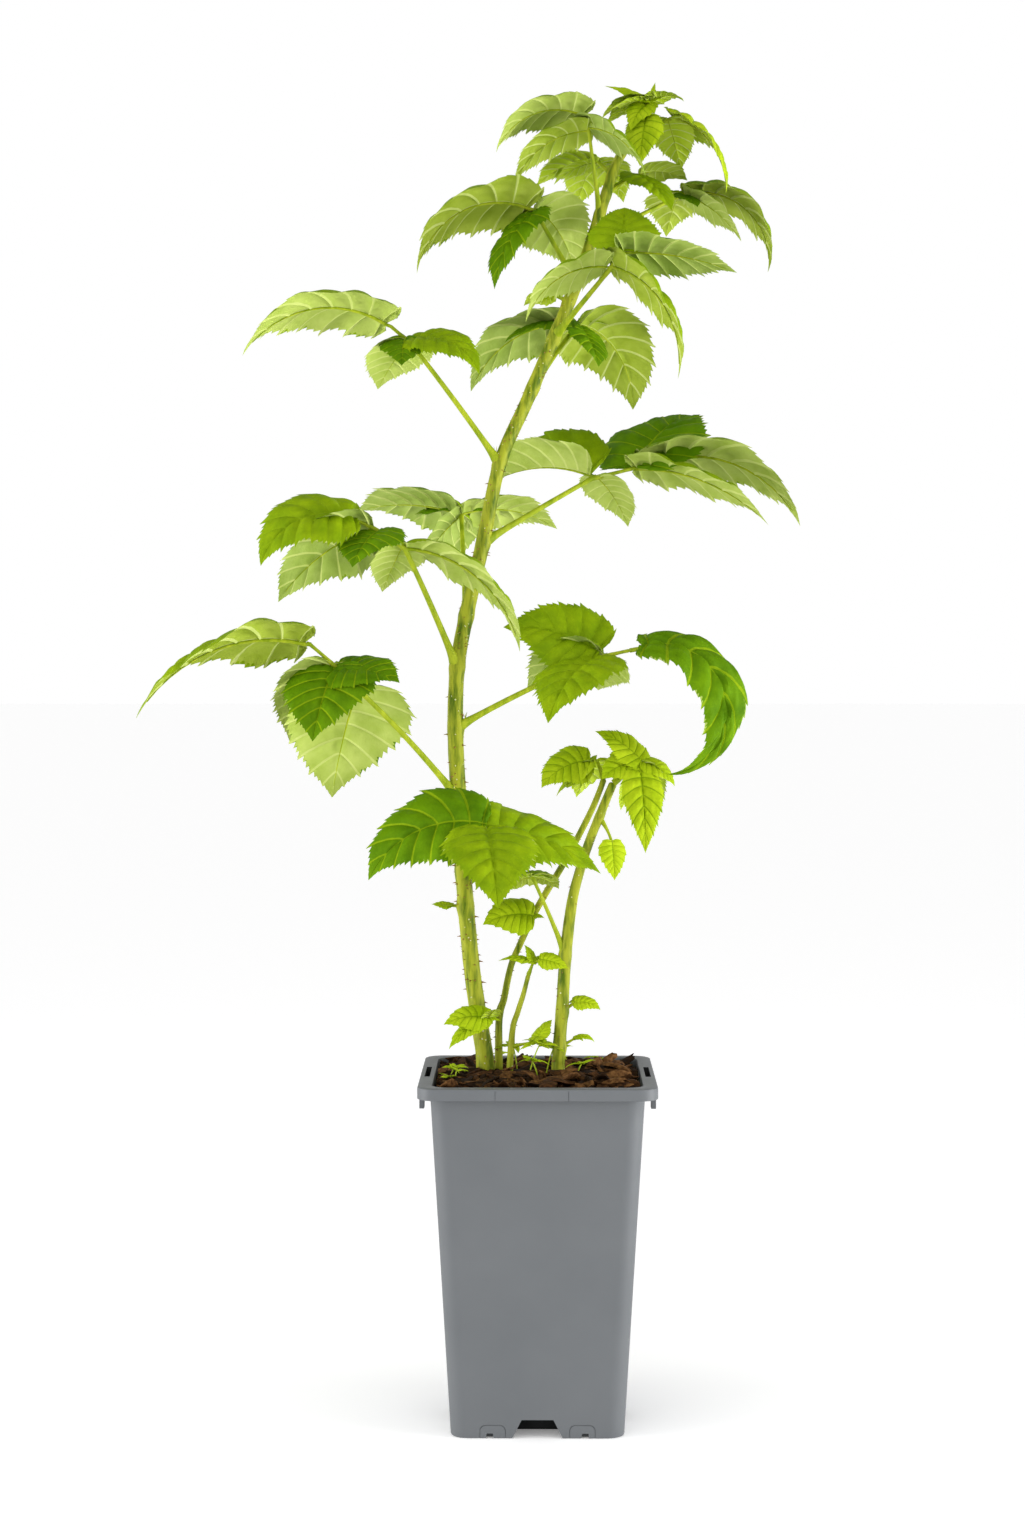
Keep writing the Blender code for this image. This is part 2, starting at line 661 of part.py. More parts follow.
def build_blade(name, home, leaflet, arc):
    """A closed leaflet blade, thickest at its midrib and sharp at its margin."""
    shape = bmesh.new()
    rows, columns = next(grid for reach, grid in BLADE_GRIDS if leaflet.length <= reach)
    bmesh.ops.create_grid(shape, x_segments=rows, y_segments=columns, size=1)
    everything = shape.verts[:] + shape.edges[:] + shape.faces[:]
    copied = bmesh.ops.duplicate(shape, geom=everything)["geom"]
    bmesh.ops.reverse_faces(shape, faces=[part for part in copied if isinstance(part, bmesh.types.BMFace)])
    below = {part for part in copied if isinstance(part, bmesh.types.BMVert)}
    for vert in shape.verts:
        row = round((vert.co.x + 1) / 2, 5)
        layer = -1 if vert in below else 1
        vert.co = blade_point(leaflet, arc, row, round(vert.co.y, 5), layer) * MM
    bmesh.ops.remove_doubles(shape, verts=shape.verts, dist=WELD)
    root_edges = [edge for edge in shape.edges if edge.is_boundary]
    bmesh.ops.holes_fill(shape, edges=root_edges, sides=0)
    return shape_object(name, shape, home)


def build_leaf(leaf, route, home):
    """A leaf's stalk as a bough, and its rachis and leaflets fused as one mass."""
    stalk, clear = stalk_line(route, leaf)
    length = leaf.stalk.length
    tip_radius = leaf.radius * STEM_TAPER
    steps = max(1, round(length / STALK_STEP))
    reach = 1 - (HUB_LENGTH + clear) / length
    shares = [(clear / length) + reach * step / steps for step in range(steps + 1)]
    line = [stalk.point(share) for share in shares]
    if leaf.has_bough:
        tube("stalk_" + leaf.name, home, line, tapered(len(line), leaf.radius, tip_radius), 6, CANE_GREEN)
        line = [line[-1] + stalk.direction(1) * GAP]
    hub = stalk.point(1)
    rachis = stalk_arc(hub, leaf.rachis)
    line += [hub, rachis.point(1)]
    sides = 6 if leaf.has_bough else 4
    stem = tube("leaf_" + leaf.name, home, line, tapered(len(line), tip_radius, tip_radius * STEM_TAPER), sides)
    joining = collection("joining")
    for number, leaflet in enumerate(leaf.leaflets):
        root = rachis.point(leaflet.along / leaf.rachis.length)
        ahead = direction(leaflet.heading, leaflet.rise)
        sunk = root - ahead * ROOT_SUNK
        foot = root + ahead * leaflet.stem if leaflet.stem > SESSILE else sunk
        arc = Arc(foot, leaflet.heading, leaflet.rise, leaflet.droop, leaflet.length, leaflet.turn)
        build_blade(f"blade_{number}", joining, leaflet, arc)
        if leaflet.stem > SESSILE:
            thick = max(THINNEST_RIB, leaflet.length * RIB_THICKNESS)
            tube(f"rib_{number}", joining, [sunk, arc.point(RIB_END)], (thick, thick * STEM_TAPER), 4)
    boolean(stem, "UNION", joining, "MANIFOLD")
    fused = evaluated_mesh(stem)
    for part in list(joining.objects):
        bpy.data.objects.remove(part)
    bpy.data.collections.remove(joining)
    bpy.data.objects.remove(stem)
    fused.name = "leaf_" + leaf.name
    return mesh_object("leaf_" + leaf.name, fused, home, leaf.colour)


def main():
    for old in list(bpy.data.objects):
        bpy.data.objects.remove(old)
    plant = collection("raspberry_cane_in_pot")
    routes = {name: smooth_route(stations) for name, stations in CANES.items()}
    for name, (points, radii) in routes.items():
        tube(name, plant, points, radii, 10 if name == "cane_main" else 6, CANE_GREEN)
    for leaf in LEAVES:
        build_leaf(leaf, routes[leaf.cane], plant)
    build_bark(plant)
    build_pot(plant)


main()
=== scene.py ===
"""The looks of a raspberry cane in a square pot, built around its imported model.

Each class rebuilds one part of the plant as a finer mesh in the place of its solid and dresses it.
Named sizes are in millimetres and angles in degrees, as in the model's own source; headings are
turned from +X towards +Y. MM turns lengths into Blender's metres.
"""
from __future__ import annotations

import logging
import math
import random
from dataclasses import dataclass, field
from enum import Enum
from typing import NamedTuple

import bmesh
import bpy
import numpy as np
from mathutils import Matrix, Vector, noise

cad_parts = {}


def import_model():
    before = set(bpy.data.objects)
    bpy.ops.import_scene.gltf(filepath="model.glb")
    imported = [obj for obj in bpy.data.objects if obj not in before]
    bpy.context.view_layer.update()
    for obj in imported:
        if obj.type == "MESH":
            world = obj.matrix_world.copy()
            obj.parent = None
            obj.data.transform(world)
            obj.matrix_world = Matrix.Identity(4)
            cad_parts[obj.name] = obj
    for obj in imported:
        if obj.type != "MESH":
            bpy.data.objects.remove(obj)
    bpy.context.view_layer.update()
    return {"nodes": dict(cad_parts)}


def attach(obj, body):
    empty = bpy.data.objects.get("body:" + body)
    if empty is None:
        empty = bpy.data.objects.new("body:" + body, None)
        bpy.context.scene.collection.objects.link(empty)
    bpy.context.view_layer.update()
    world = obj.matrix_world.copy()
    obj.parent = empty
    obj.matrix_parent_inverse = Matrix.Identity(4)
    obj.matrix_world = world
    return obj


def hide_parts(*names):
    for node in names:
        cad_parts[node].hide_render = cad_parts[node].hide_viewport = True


LOG = logging.getLogger("raspberry_cane")
MM = 0.001

Array = np.ndarray
RGB = tuple[float, float, float]
Face = tuple[int, ...]
Shape = tuple[Array, list[Face]]

# The angles between faces above which an edge is shaded sharp
SHARP_PLASTIC = 35
SHARP_BARK = 38
SHARP_STEM = 50
SHARP_BLADE = 75


class Cane(Enum):
    """The plant's four canes, by the names of their solids."""

    MAIN = "cane_main"
    RIGHT = "cane_right"
    BACK = "cane_back"
    THIN = "cane_thin"


class Growth(Enum):
    """How old a leaf is."""

    MATURE = "mature"
    SHOOT = "shoot"


class Tier(Enum):
    """The storey a leaf stands in; the blades of a storey are one piece."""

    LOW = "lower_leaves"
    MIDDLE = "middle_leaves"
    UPPER = "upper_leaves"
    TOP = "top_leaves"
    SHOOTS = "shoot_leaves"


class Skin(Enum):
    """The plain colours a leaf's surfaces are dealt."""

    DEEP = "leaf_deep"
    FRESH = "leaf_fresh"
    LIME = "leaf_lime"
    PALE = "underside_pale"
    SAGE = "underside_sage"
    OLIVE = "underside_olive"
    LEMON = "underside_lemon"
    UPPER_VEIN = "vein_above"
    UNDER_VEIN = "vein_below"


class Station(NamedTuple):
    """A point on a cane's middle line and the cane's radius there, as the spline reads them."""

    height: float
    x: float
    y: float
    radius: float


@dataclass(frozen=True)
class Bend:
    """A stem that leaves at a heading and rise, and bends down by droop and aside by turn."""

    heading: float
    rise: float
    droop: float
    length: float
    turn: float = 0.0


@dataclass(frozen=True)
class Leaflet:
    """One blade, along its leaf's rachis.

    Roll tips its upper side to its right, twist adds to that along it, and fold is how far each
    half rises from its midrib.
    """

    along: float
    heading: float
    rise: float
    droop: float
    length: float
    width: float
    roll: float = 0.0
    stem: float = 2.0
    turn: float = 0.0
    twist: float = 0.0
    fold: float = 14.0

    @property
    def bend(self) -> Bend:
        """The bend of the blade's midrib."""
        return Bend(self.heading, self.rise, self.droop, self.length, self.turn)


@dataclass(frozen=True)
class CompoundLeaf:
    """A compound leaf: its node on a cane, its stalk, its rachis and its leaflets."""

    name: str
    cane: Cane
    node: float
    stalk: Bend
    radius: float
    rachis: Bend
    leaflets: tuple[Leaflet, ...]
    has_bough: bool = True
    growth: Growth = Growth.MATURE

    @property
    def solids(self) -> list[str]:
        """The names of the solids that the leaf's meshes stand for."""
        return ["leaf_" + self.name] + (["stalk_" + self.name] if self.has_bough else [])

    @property
    def tints(self) -> tuple[tuple[Skin, Skin], ...]:
        """The upper and under colours that its leaflets are dealt in turn."""
        own = (Skin.LIME, Skin.LEMON) if self.growth is Growth.SHOOT else (Skin.FRESH, Skin.OLIVE)
        return TINTS.get(self.name, (own,))

    @property
    def tier(self) -> Tier:
        """The storey of the leaf, by its age and the height of its node."""
        if self.cane is not Cane.MAIN or self.name == "main_bud":
            return Tier.SHOOTS
        for top, tier in TIER_TOPS:
            if self.node < top:
                return tier
        return Tier.TOP


def shoot(
    name: str, cane: Cane, node: float, stalk: Bend, radius: float, rachis: Bend,
    leaflets: tuple[Leaflet, ...],
) -> CompoundLeaf:
    """A leaf of young growth, whose short stalk belongs to the leaf's own solid.

    Args:
        name: The leaf's name.
        cane: The cane it stands on.
        node: The height of its node.
        stalk: How its stalk bends.
        radius: The radius of its stalk.
        rachis: How its rachis bends.
        leaflets: Its leaflets.

    Returns:
        The leaf.
    """
    return CompoundLeaf(name, cane, node, stalk, radius, rachis, leaflets, False, Growth.SHOOT)


# The node heights below which a leaf of the main cane belongs to each storey
TIER_TOPS = ((470, Tier.LOW), (600, Tier.MIDDLE), (745, Tier.UPPER))

# Where a cane's middle line starts, down in the bark
CANE_FOOT = 212

CANES = {
    Cane.MAIN: (
        Station(CANE_FOOT, -33.5, 5, 7.0), Station(232, -34, 5, 5.8), Station(262, -38.5, 5, 5.4),
        Station(296, -43, 5, 5.3), Station(347, -47.5, 3, 5.2), Station(402, -51, 0, 5.1),
        Station(446, -53, 0, 5.0), Station(485, -51.5, -2, 4.8), Station(519, -45.5, 0, 4.7),
        Station(565, -35, 2, 4.5), Station(615, -24, 0, 4.2), Station(655, -6.5, 1, 4.1),
        Station(697, 11.5, 0, 4.0), Station(729, 25, -1, 3.8), Station(772, 39.5, -2, 3.4),
        Station(799, 48, -1, 3.0), Station(816, 56, 0, 2.7), Station(838, 68.5, 1, 2.2),
    ),
    Cane.RIGHT: (
        Station(CANE_FOOT, 13, -4, 5.0), Station(232, 13.5, -4, 4.2), Station(267, 16, -3, 4.0),
        Station(299, 18, -2, 3.9), Station(329, 21.5, -2, 3.5), Station(345, 24.7, -2, 3.2),
        Station(369, 32, -2, 3.0), Station(392, 41, -2, 2.8), Station(410, 48.5, -2, 2.6),
    ),
    Cane.BACK: (
        Station(CANE_FOOT, -25, 15, 2.8), Station(255, -25, 15, 2.3), Station(269, -21.8, 15, 2.2),
        Station(290, -17.3, 16, 2.1), Station(305, -11, 17, 2.1), Station(321, -3.8, 17, 2.2),
        Station(337, 5, 17, 2.2), Station(360, 18.6, 16, 2.1), Station(391, 34.6, 14, 2.0),
        Station(412, 43, 13, 1.8),
    ),
    Cane.THIN: (
        Station(CANE_FOOT, -18.6, -2, 2.4), Station(249, -16.3, -1, 1.9), Station(262, -12.8, 0, 1.8),
        Station(274, -9, 1, 1.6), Station(286, -6, 2, 1.3),
    ),
}

LEAVES = (
    CompoundLeaf("low_front", Cane.MAIN, 352, Bend(-60, 34, 0, 52, -15), 2.2, Bend(-100, 30, 10, 12), (
        Leaflet(12, -172, 14, 78, 88, 64, -42),
        Leaflet(12, -82, -16, 44, 74, 58, 0, 10),
        Leaflet(11, 14, -7, 32, 84, 58, 34),
    )),
    CompoundLeaf("low_left", Cane.MAIN, 400, Bend(-152, 49, 8, 96), 2.2, Bend(-160, 46, 8, 48), (
        Leaflet(4, 119, -50, 22, 82, 80, 10),
        Leaflet(26, 128, -34, 20, 72, 60, 8),
        Leaflet(24, -104, -32, 26, 66, 58, 0),
        Leaflet(22, -24, 6, 34, 46, 50, 24),
        Leaflet(46, -166, 13, 74, 124, 60, 30, 3, twist=-32),
    )),
    CompoundLeaf("low_right", Cane.MAIN, 445, Bend(-5, 30, 8, 100), 2.2, Bend(2, 20, 10, 24), (
        Leaflet(3, -122, -8, 52, 74, 58, 0, 3),
        Leaflet(8, 170, 32, 36, 66, 52, -58, 5),
        Leaflet(7, 98, -34, 5, 38, 38, 28),
        Leaflet(9, 134, 6, 46, 76, 50, 30, 4),
        Leaflet(24, -16, 16, 190, 138, 44, 30, 8),
    )),
    CompoundLeaf("mid_left", Cane.MAIN, 484, Bend(-129, 58, 4, 90), 2.2, Bend(-160, 34, 12, 42), (
        Leaflet(37, -162, 22, 96, 76, 54, -36),
        Leaflet(24, 166, -16, 40, 80, 60, 32),
        Leaflet(20, -112, -14, 36, 46, 44, 0),
        Leaflet(1, 12, -2, 78, 108, 42, -14),
        Leaflet(2, 118, -38, 10, 42, 34, 0),
    )),
    CompoundLeaf("mid_back", Cane.MAIN, 517, Bend(95, 53, 0, 82), 1.9, Bend(95, 50, 0, 4), (
        Leaflet(3, 155, 18, 30, 80, 66, 24),
        Leaflet(3, 22, 18, 50, 72, 50, -24),
        Leaflet(4, 92, 10, 60, 84, 58, 0, 4),
        Leaflet(2, -168, -40, 20, 46, 34, 34),
    )),
    CompoundLeaf("mid_right", Cane.MAIN, 564, Bend(16, 31, 2, 84), 2.2, Bend(14, 14, 0, 33), (
        Leaflet(3, 160, 22, 50, 72, 64, -8, 4, fold=46),
        Leaflet(4, 44, -30, 34, 44, 42, 0),
        Leaflet(31, 52, 52, 44, 80, 78, 4),
        Leaflet(33, -8, 22, 88, 120, 58, -26, 4),
        Leaflet(30, -21, 0, 46, 102, 50, -22),
    )),
    CompoundLeaf("high_left", Cane.MAIN, 614, Bend(-154, 52, 4, 96), 2.0, Bend(-162, 38, 0, 18), (
        Leaflet(17, -164, 30, 88, 104, 62, 18, 3),
        Leaflet(2, 124, -26, 18, 48, 46, 0),
        Leaflet(2, -24, 18, 84, 60, 40, 24),
        Leaflet(5, -92, -24, 26, 34, 32, 0),
    )),
    CompoundLeaf("high_back", Cane.MAIN, 662, Bend(58, 42, 4, 70), 1.8, Bend(60, 30, 0, 4), (
        Leaflet(3, 160, 8, 76, 90, 62, 18, 3),
        Leaflet(2, -162, 4, 40, 50, 42, -8, 3),
        Leaflet(3, -66, -30, 30, 42, 40, -24, 3),
        Leaflet(3, 42, 0, 92, 82, 62, -24),
        Leaflet(4, 96, 14, 60, 76, 54, 0, 4),
    )),
    CompoundLeaf("high_right", Cane.MAIN, 695, Bend(-48, 36, 0, 62), 2.0, Bend(-40, 46, 4, 18), (
        Leaflet(3, -168, 4, 78, 68, 50, 20, 3),
        Leaflet(4, -26, -16, 84, 94, 50, -28),
        Leaflet(15, -16, 0, 24, 76, 44, -30),
        Leaflet(17, 88, 66, 34, 42, 44, 0),
    )),
    CompoundLeaf("upper_left", Cane.MAIN, 728, Bend(-160, 58, 0, 50), 1.9, Bend(-165, 56, 0, 5), (
        Leaflet(4, -162, 18, 98, 98, 60, 26, 3),
        Leaflet(2, -136, -30, 50, 66, 38, 4),
        Leaflet(4, 52, -6, 66, 58, 50, -32),
    )),
    CompoundLeaf("upper_right", Cane.MAIN, 756, Bend(34, 27, 2, 78), 1.7, Bend(20, 24, 0, 6), (
        Leaflet(5, -4, 12, 112, 88, 56, -10, 2),
        Leaflet(3, -16, -20, 40, 52, 34, -24),
        Leaflet(2, -60, -20, 20, 22, 18, 0),
        Leaflet(3, 100, 10, 60, 60, 44, 0),
    )),
    CompoundLeaf("top_left", Cane.MAIN, 772, Bend(-116, 71, 0, 52), 1.5, Bend(-140, 66, 0, 12), (
        Leaflet(11, -166, 22, 92, 70, 46, 22, 2),
        Leaflet(1, 176, 0, 70, 62, 34, 24),
        Leaflet(3, -34, -6, 66, 60, 42, -24),
    )),
    shoot("top_back", Cane.MAIN, 797, Bend(115, 30, 0, 22), 1.4, Bend(120, 20, 0, 4), (
        Leaflet(3, 152, 12, 54, 48, 32, 20),
        Leaflet(1, 172, 0, 50, 34, 24, 10),
        Leaflet(3, 108, -8, 50, 46, 32, 0, 3),
        Leaflet(2, 60, 0, 60, 44, 30, -10),
    )),
    shoot("top_right", Cane.MAIN, 812, Bend(14, 42, 12, 36), 1.4, Bend(12, 24, 0, 5), (
        Leaflet(5, -26, -16, 76, 68, 42, -14, 2),
        Leaflet(1, 66, -44, 10, 38, 30, 0),
    )),
    CompoundLeaf("upper_back", Cane.MAIN, 785, Bend(48, 30, 0, 28), 1.3, Bend(40, 15, 0, 4), (
        Leaflet(3, -46, -18, 40, 44, 36, 0),
        Leaflet(3, 22, 22, 50, 36, 34, -18, 3),
        Leaflet(1, 176, -26, 20, 26, 16, 0),
    ), False),
    shoot("cane_tip", Cane.MAIN, 838, Bend(20, 62, 0, 5), 1.4, Bend(10, 60, 0, 3), (
        Leaflet(2, 176, 24, 10, 32, 14, -30),
        Leaflet(0, -106, -52, 24, 38, 24, 0, 12),
        Leaflet(2, -150, 4, 40, 34, 13, 20),
        Leaflet(3, -4, 30, 40, 18, 12, 20),
        Leaflet(3, 40, 78, 8, 13, 6, 0),
        Leaflet(1, -172, 16, 70, 36, 22, 14, turn=-10, fold=20),
        Leaflet(0, 150, 12, 60, 34, 22, 10, fold=20),
        Leaflet(0, -128, -20, 50, 30, 18, -20, fold=20),
        Leaflet(1, -40, 30, 70, 30, 18, -10, fold=20),
    )),
    shoot("upper_bud", Cane.MAIN, 717, Bend(178, 24, 0, 9), 1.1, Bend(178, 0, 0, 3), (
        Leaflet(2, 172, 14, 60, 22, 20, 24),
        Leaflet(2, -150, -10, 30, 12, 10, 0),
    )),
    shoot("right_top", Cane.RIGHT, 416, Bend(-5, 38, 0, 20), 1.4, Bend(0, 20, 0, 3), (
        Leaflet(2, -166, 4, 50, 30, 28, -50),
        Leaflet(3, 170, 50, 34, 38, 24, -40),
        Leaflet(3, 0, -6, 60, 28, 22, 30),
        Leaflet(2, 60, -44, 30, 44, 26, 0),
        Leaflet(1, -84, -44, 44, 58, 26, 0, 6),
        Leaflet(1, 130, -56, 10, 28, 16, 0, 8),
        Leaflet(3, 95, 20, 60, 36, 26, 0),
    )),
    shoot("right_hanging", Cane.RIGHT, 388, Bend(-20, -50, 20, 16), 1.1, Bend(-20, -70, 0, 3), (
        Leaflet(2, -70, -76, 6, 26, 18, 0),
    )),
    CompoundLeaf("right_low", Cane.RIGHT, 299, Bend(-160, 68, 4, 54), 1.6, Bend(160, 50, 0, 4), (
        Leaflet(3, 100, 14, 50, 42, 34, 4),
        Leaflet(2, 174, -6, 40, 30, 22, 24),
        Leaflet(2, 40, 0, 40, 26, 22, -20),
    )),
    shoot("back_top", Cane.BACK, 413, Bend(140, 62, 0, 12), 1.2, Bend(160, 20, 0, 3), (
        Leaflet(2, -168, 0, 56, 38, 34, -42, 3),
        Leaflet(2, 166, -30, 24, 36, 32, -20),
        Leaflet(1, 120, -34, 20, 36, 26, 0),
        Leaflet(2, 80, 10, 50, 36, 26, 0),
    )),
    shoot("back_low", Cane.BACK, 318, Bend(-80, 30, 0, 11), 1.1, Bend(-100, 10, 0, 3), (
        Leaflet(2, -170, 12, 42, 34, 32, -44),
        Leaflet(1, 10, 20, 60, 10, 8, 20),
    )),
    shoot("thin_top", Cane.THIN, 286, Bend(-30, 66, 0, 9), 0.9, Bend(-40, 20, 0, 8), (
        Leaflet(1, 178, 24, 44, 25, 10, -20),
        Leaflet(1, 160, 68, 20, 14, 9, -20),
        Leaflet(7, -14, -4, 24, 20, 12, 60),
        Leaflet(3, 60, 34, 40, 13, 9, 0),
    )),
    shoot("main_bud", Cane.MAIN, 330, Bend(178, 4, 0, 9), 0.9, Bend(178, 0, 0, 2), (
        Leaflet(1, 168, 12, 20, 14, 11, -20),
        Leaflet(1, -125, 6, 20, 9, 7, 0),
    )),
    shoot("base_left", Cane.BACK, 261, Bend(-105, -4, 0, 25), 0.9, Bend(-140, 10, 0, 3), (
        Leaflet(2, -178, 14, 44, 30, 21, -44),
        Leaflet(1, -166, -16, 40, 34, 15, -34),
        Leaflet(1, -60, 50, 40, 16, 13, 0),
        Leaflet(1, 0, 4, 30, 9, 6, 20),
    )),
    shoot("base_right", Cane.RIGHT, 263, Bend(-4, 36, 0, 9), 0.9, Bend(0, 30, 0, 2), (
        Leaflet(1, -6, 16, 60, 19, 13, 40),
        Leaflet(1, 70, 20, 50, 15, 10, 0),
    )),
    shoot("right_foot", Cane.RIGHT, 240, Bend(0, 30, 0, 11), 0.8, Bend(0, 40, 0, 2), (
        Leaflet(1, -4, 34, 90, 15, 6, 30),
        Leaflet(1, -50, 10, 40, 9, 5, 0),
    )),
    shoot("thin_low", Cane.THIN, 240, Bend(-24, 14, 0, 18), 0.9, Bend(-10, 60, 0, 3), (
        Leaflet(2, 40, 58, 30, 18, 15, 0),
        Leaflet(2, -10, 40, 30, 12, 5, 10),
        Leaflet(1, -30, -24, 10, 12, 6, 20),
        Leaflet(1, -170, -24, 10, 14, 6, -20),
        Leaflet(3, -110, 10, 40, 13, 10, 0),
    )),
)

DEEP_PALE, DEEP_SAGE, DEEP_OLIVE = ((Skin.DEEP, under) for under in (Skin.PALE, Skin.SAGE, Skin.OLIVE))
FRESH_PALE, FRESH_SAGE, FRESH_OLIVE = ((Skin.FRESH, under) for under in (Skin.PALE, Skin.SAGE, Skin.OLIVE))
LIME_OLIVE = (Skin.LIME, Skin.OLIVE)

# The upper and under colours of each leaflet of a leaf, in the order of its leaflets
TINTS = {
    "low_front": (DEEP_PALE, FRESH_PALE, FRESH_PALE),
    "low_left": (DEEP_PALE, FRESH_PALE, DEEP_PALE, DEEP_PALE, FRESH_OLIVE),
    "low_right": (FRESH_PALE, FRESH_PALE, FRESH_PALE, FRESH_SAGE, DEEP_SAGE),
    "mid_left": (FRESH_SAGE, FRESH_SAGE, DEEP_SAGE, FRESH_PALE, DEEP_PALE),
    "mid_back": (FRESH_SAGE, FRESH_PALE, DEEP_SAGE, FRESH_SAGE),
    "mid_right": (FRESH_PALE, FRESH_PALE, DEEP_PALE, FRESH_PALE, FRESH_PALE),
    "high_left": (FRESH_PALE, FRESH_PALE, FRESH_SAGE, DEEP_PALE),
    "high_back": (FRESH_SAGE, DEEP_SAGE, DEEP_OLIVE, FRESH_OLIVE, FRESH_PALE),
    "high_right": (FRESH_PALE, FRESH_OLIVE, DEEP_SAGE, FRESH_PALE),
    "upper_left": (FRESH_OLIVE, DEEP_SAGE, FRESH_PALE),
    "upper_right": (FRESH_OLIVE, FRESH_PALE, DEEP_PALE, FRESH_OLIVE),
    "top_left": (FRESH_PALE, LIME_OLIVE, FRESH_SAGE),
}


def heading_vectors(heading: Array | float, rise: Array | float) -> Array:
    """The unit vectors at compass headings and rises above level.

    Args:
        heading: Angles from +X towards +Y.
        rise: Angles above level.

    Returns:
        One row of x, y, z for each pair.
    """
    compass, climb = np.radians(heading), np.radians(rise)
    level = np.cos(climb)
    return np.stack([np.cos(compass) * level, np.sin(compass) * level, np.sin(climb)], axis=-1)


def unit(vectors: Array) -> Array:
    """The vectors scaled to a length of one."""
    return vectors / np.maximum(np.linalg.norm(vectors, axis=-1, keepdims=True), 1e-9)


def rolled(ahead: Array, upward: Array, roll: Array) -> Array:
    """Upward directions, tipped about the lines' own directions by a roll."""
    turn = np.radians(roll)[..., None]
    return upward * np.cos(turn) + np.cross(ahead, upward) * np.sin(turn)


def grid_faces(rows: int, columns: int) -> list[Face]:
    """The faces between the points of a grid, numbered row by row.

    Args:
        rows: How many rows of points it has.
        columns: How many points a row has.

    Returns:
        The faces.
    """
    return [
        (r * columns + c, (r + 1) * columns + c, (r + 1) * columns + c + 1, r * columns + c + 1)
        for r in range(rows - 1) for c in range(columns - 1)
    ]


def grid_border(rows: int, columns: int) -> list[int]:
    """The points round the edge of a grid, numbered row by row.

    Args:
        rows: How many rows of points it has.
        columns: How many points a row has.

    Returns:
        The numbers of the points, in order round the edge.
    """
    return (
        [r * columns for r in range(rows - 1)] + [(rows - 1) * columns + c for c in range(columns - 1)]
        + [r * columns + columns - 1 for r in range(rows - 1, 0, -1)] + list(range(columns - 1, 0, -1))
    )


def add_object(name: str, data: bpy.types.ID | None) -> bpy.types.Object:
    """A new object of some data, linked to the scene."""
    made = bpy.data.objects.new(name, data)
    bpy.context.scene.collection.objects.link(made)
    return made


def free_to_mesh(name: str, shape: bmesh.types.BMesh) -> bpy.types.Mesh:
    """A mesh made from a shape, which is then freed.

    Args:
        name: The mesh's name.
        shape: The shape.

    Returns:
        The mesh.
    """
    mesh = bpy.data.meshes.new(name)
    shape.to_mesh(mesh)
    shape.free()
    return mesh


def grey(value: float) -> tuple[float, float, float, float]:
    """An opaque grey."""
    return value, value, value, 1.0


def spline(knots: Array, at: Array) -> Array:
    """A smooth curve through evenly numbered knots.

    Args:
        knots: The values at 0, 1, 2 and on, one row each.
        at: Where along the knots to read the curve.

    Returns:
        The curve's values, one row for each place.
    """
    knots = np.asarray(knots, float)
    if knots.ndim == 1:
        knots = knots[:, None]
    first = np.clip(np.floor(at).astype(int), 0, len(knots) - 2)
    t = (np.asarray(at) - first)[:, None]
    before, after = np.maximum(first - 1, 0), np.minimum(first + 2, len(knots) - 1)
    a, b, c, d = knots[before], knots[first], knots[first + 1], knots[after]
    return b + 0.5 * t * (c - a + t * (2 * a - 5 * b + 4 * c - d + t * (3 * (b - c) + d - a)))


class Arc:
    """The middle line of a stem or midrib, whose direction changes evenly along it."""

    STEPS = 48

    def __init__(self, start: Array, bend: Bend) -> None:
        """Lays out the line.

        Args:
            start: Where the line begins.
            bend: Its headings, bends and length.
        """
        self.bend = bend
        middles = (np.arange(self.STEPS) + 0.5) / self.STEPS
        steps = self.direction(middles) * (bend.length / self.STEPS)
        self.points = np.vstack([[0.0, 0.0, 0.0], np.cumsum(steps, axis=0)]) + np.asarray(start)

    def direction(self, share: Array | float) -> Array:
        """The line's direction at shares of its length."""
        share = np.clip(share, 0, 1)
        return heading_vectors(
            self.bend.heading + self.bend.turn * share, self.bend.rise - self.bend.droop * share,
        )

    def upward(self, share: Array | float) -> Array:
        """The direction square to the line, in its upright plane, at shares of its length."""
        share = np.clip(share, 0, 1)
        return heading_vectors(
            self.bend.heading + self.bend.turn * share,
            self.bend.rise - self.bend.droop * share + 90,
        )

    def point(self, share: Array | float) -> Array:
        """Places at shares of the length, straight on beyond the ends.

        Args:
            share: The shares.

        Returns:
            A point for each share.
        """
        share = np.asarray(share, float)
        inside = np.clip(share, 0, 1) * self.STEPS
        places = np.stack(
            [np.interp(inside, np.arange(self.STEPS + 1), self.points[:, axis]) for axis in range(3)],
            axis=-1,
        )
        beyond = (share - np.clip(share, 0, 1)) * self.bend.length
        return places + self.direction(share) * beyond[..., None]


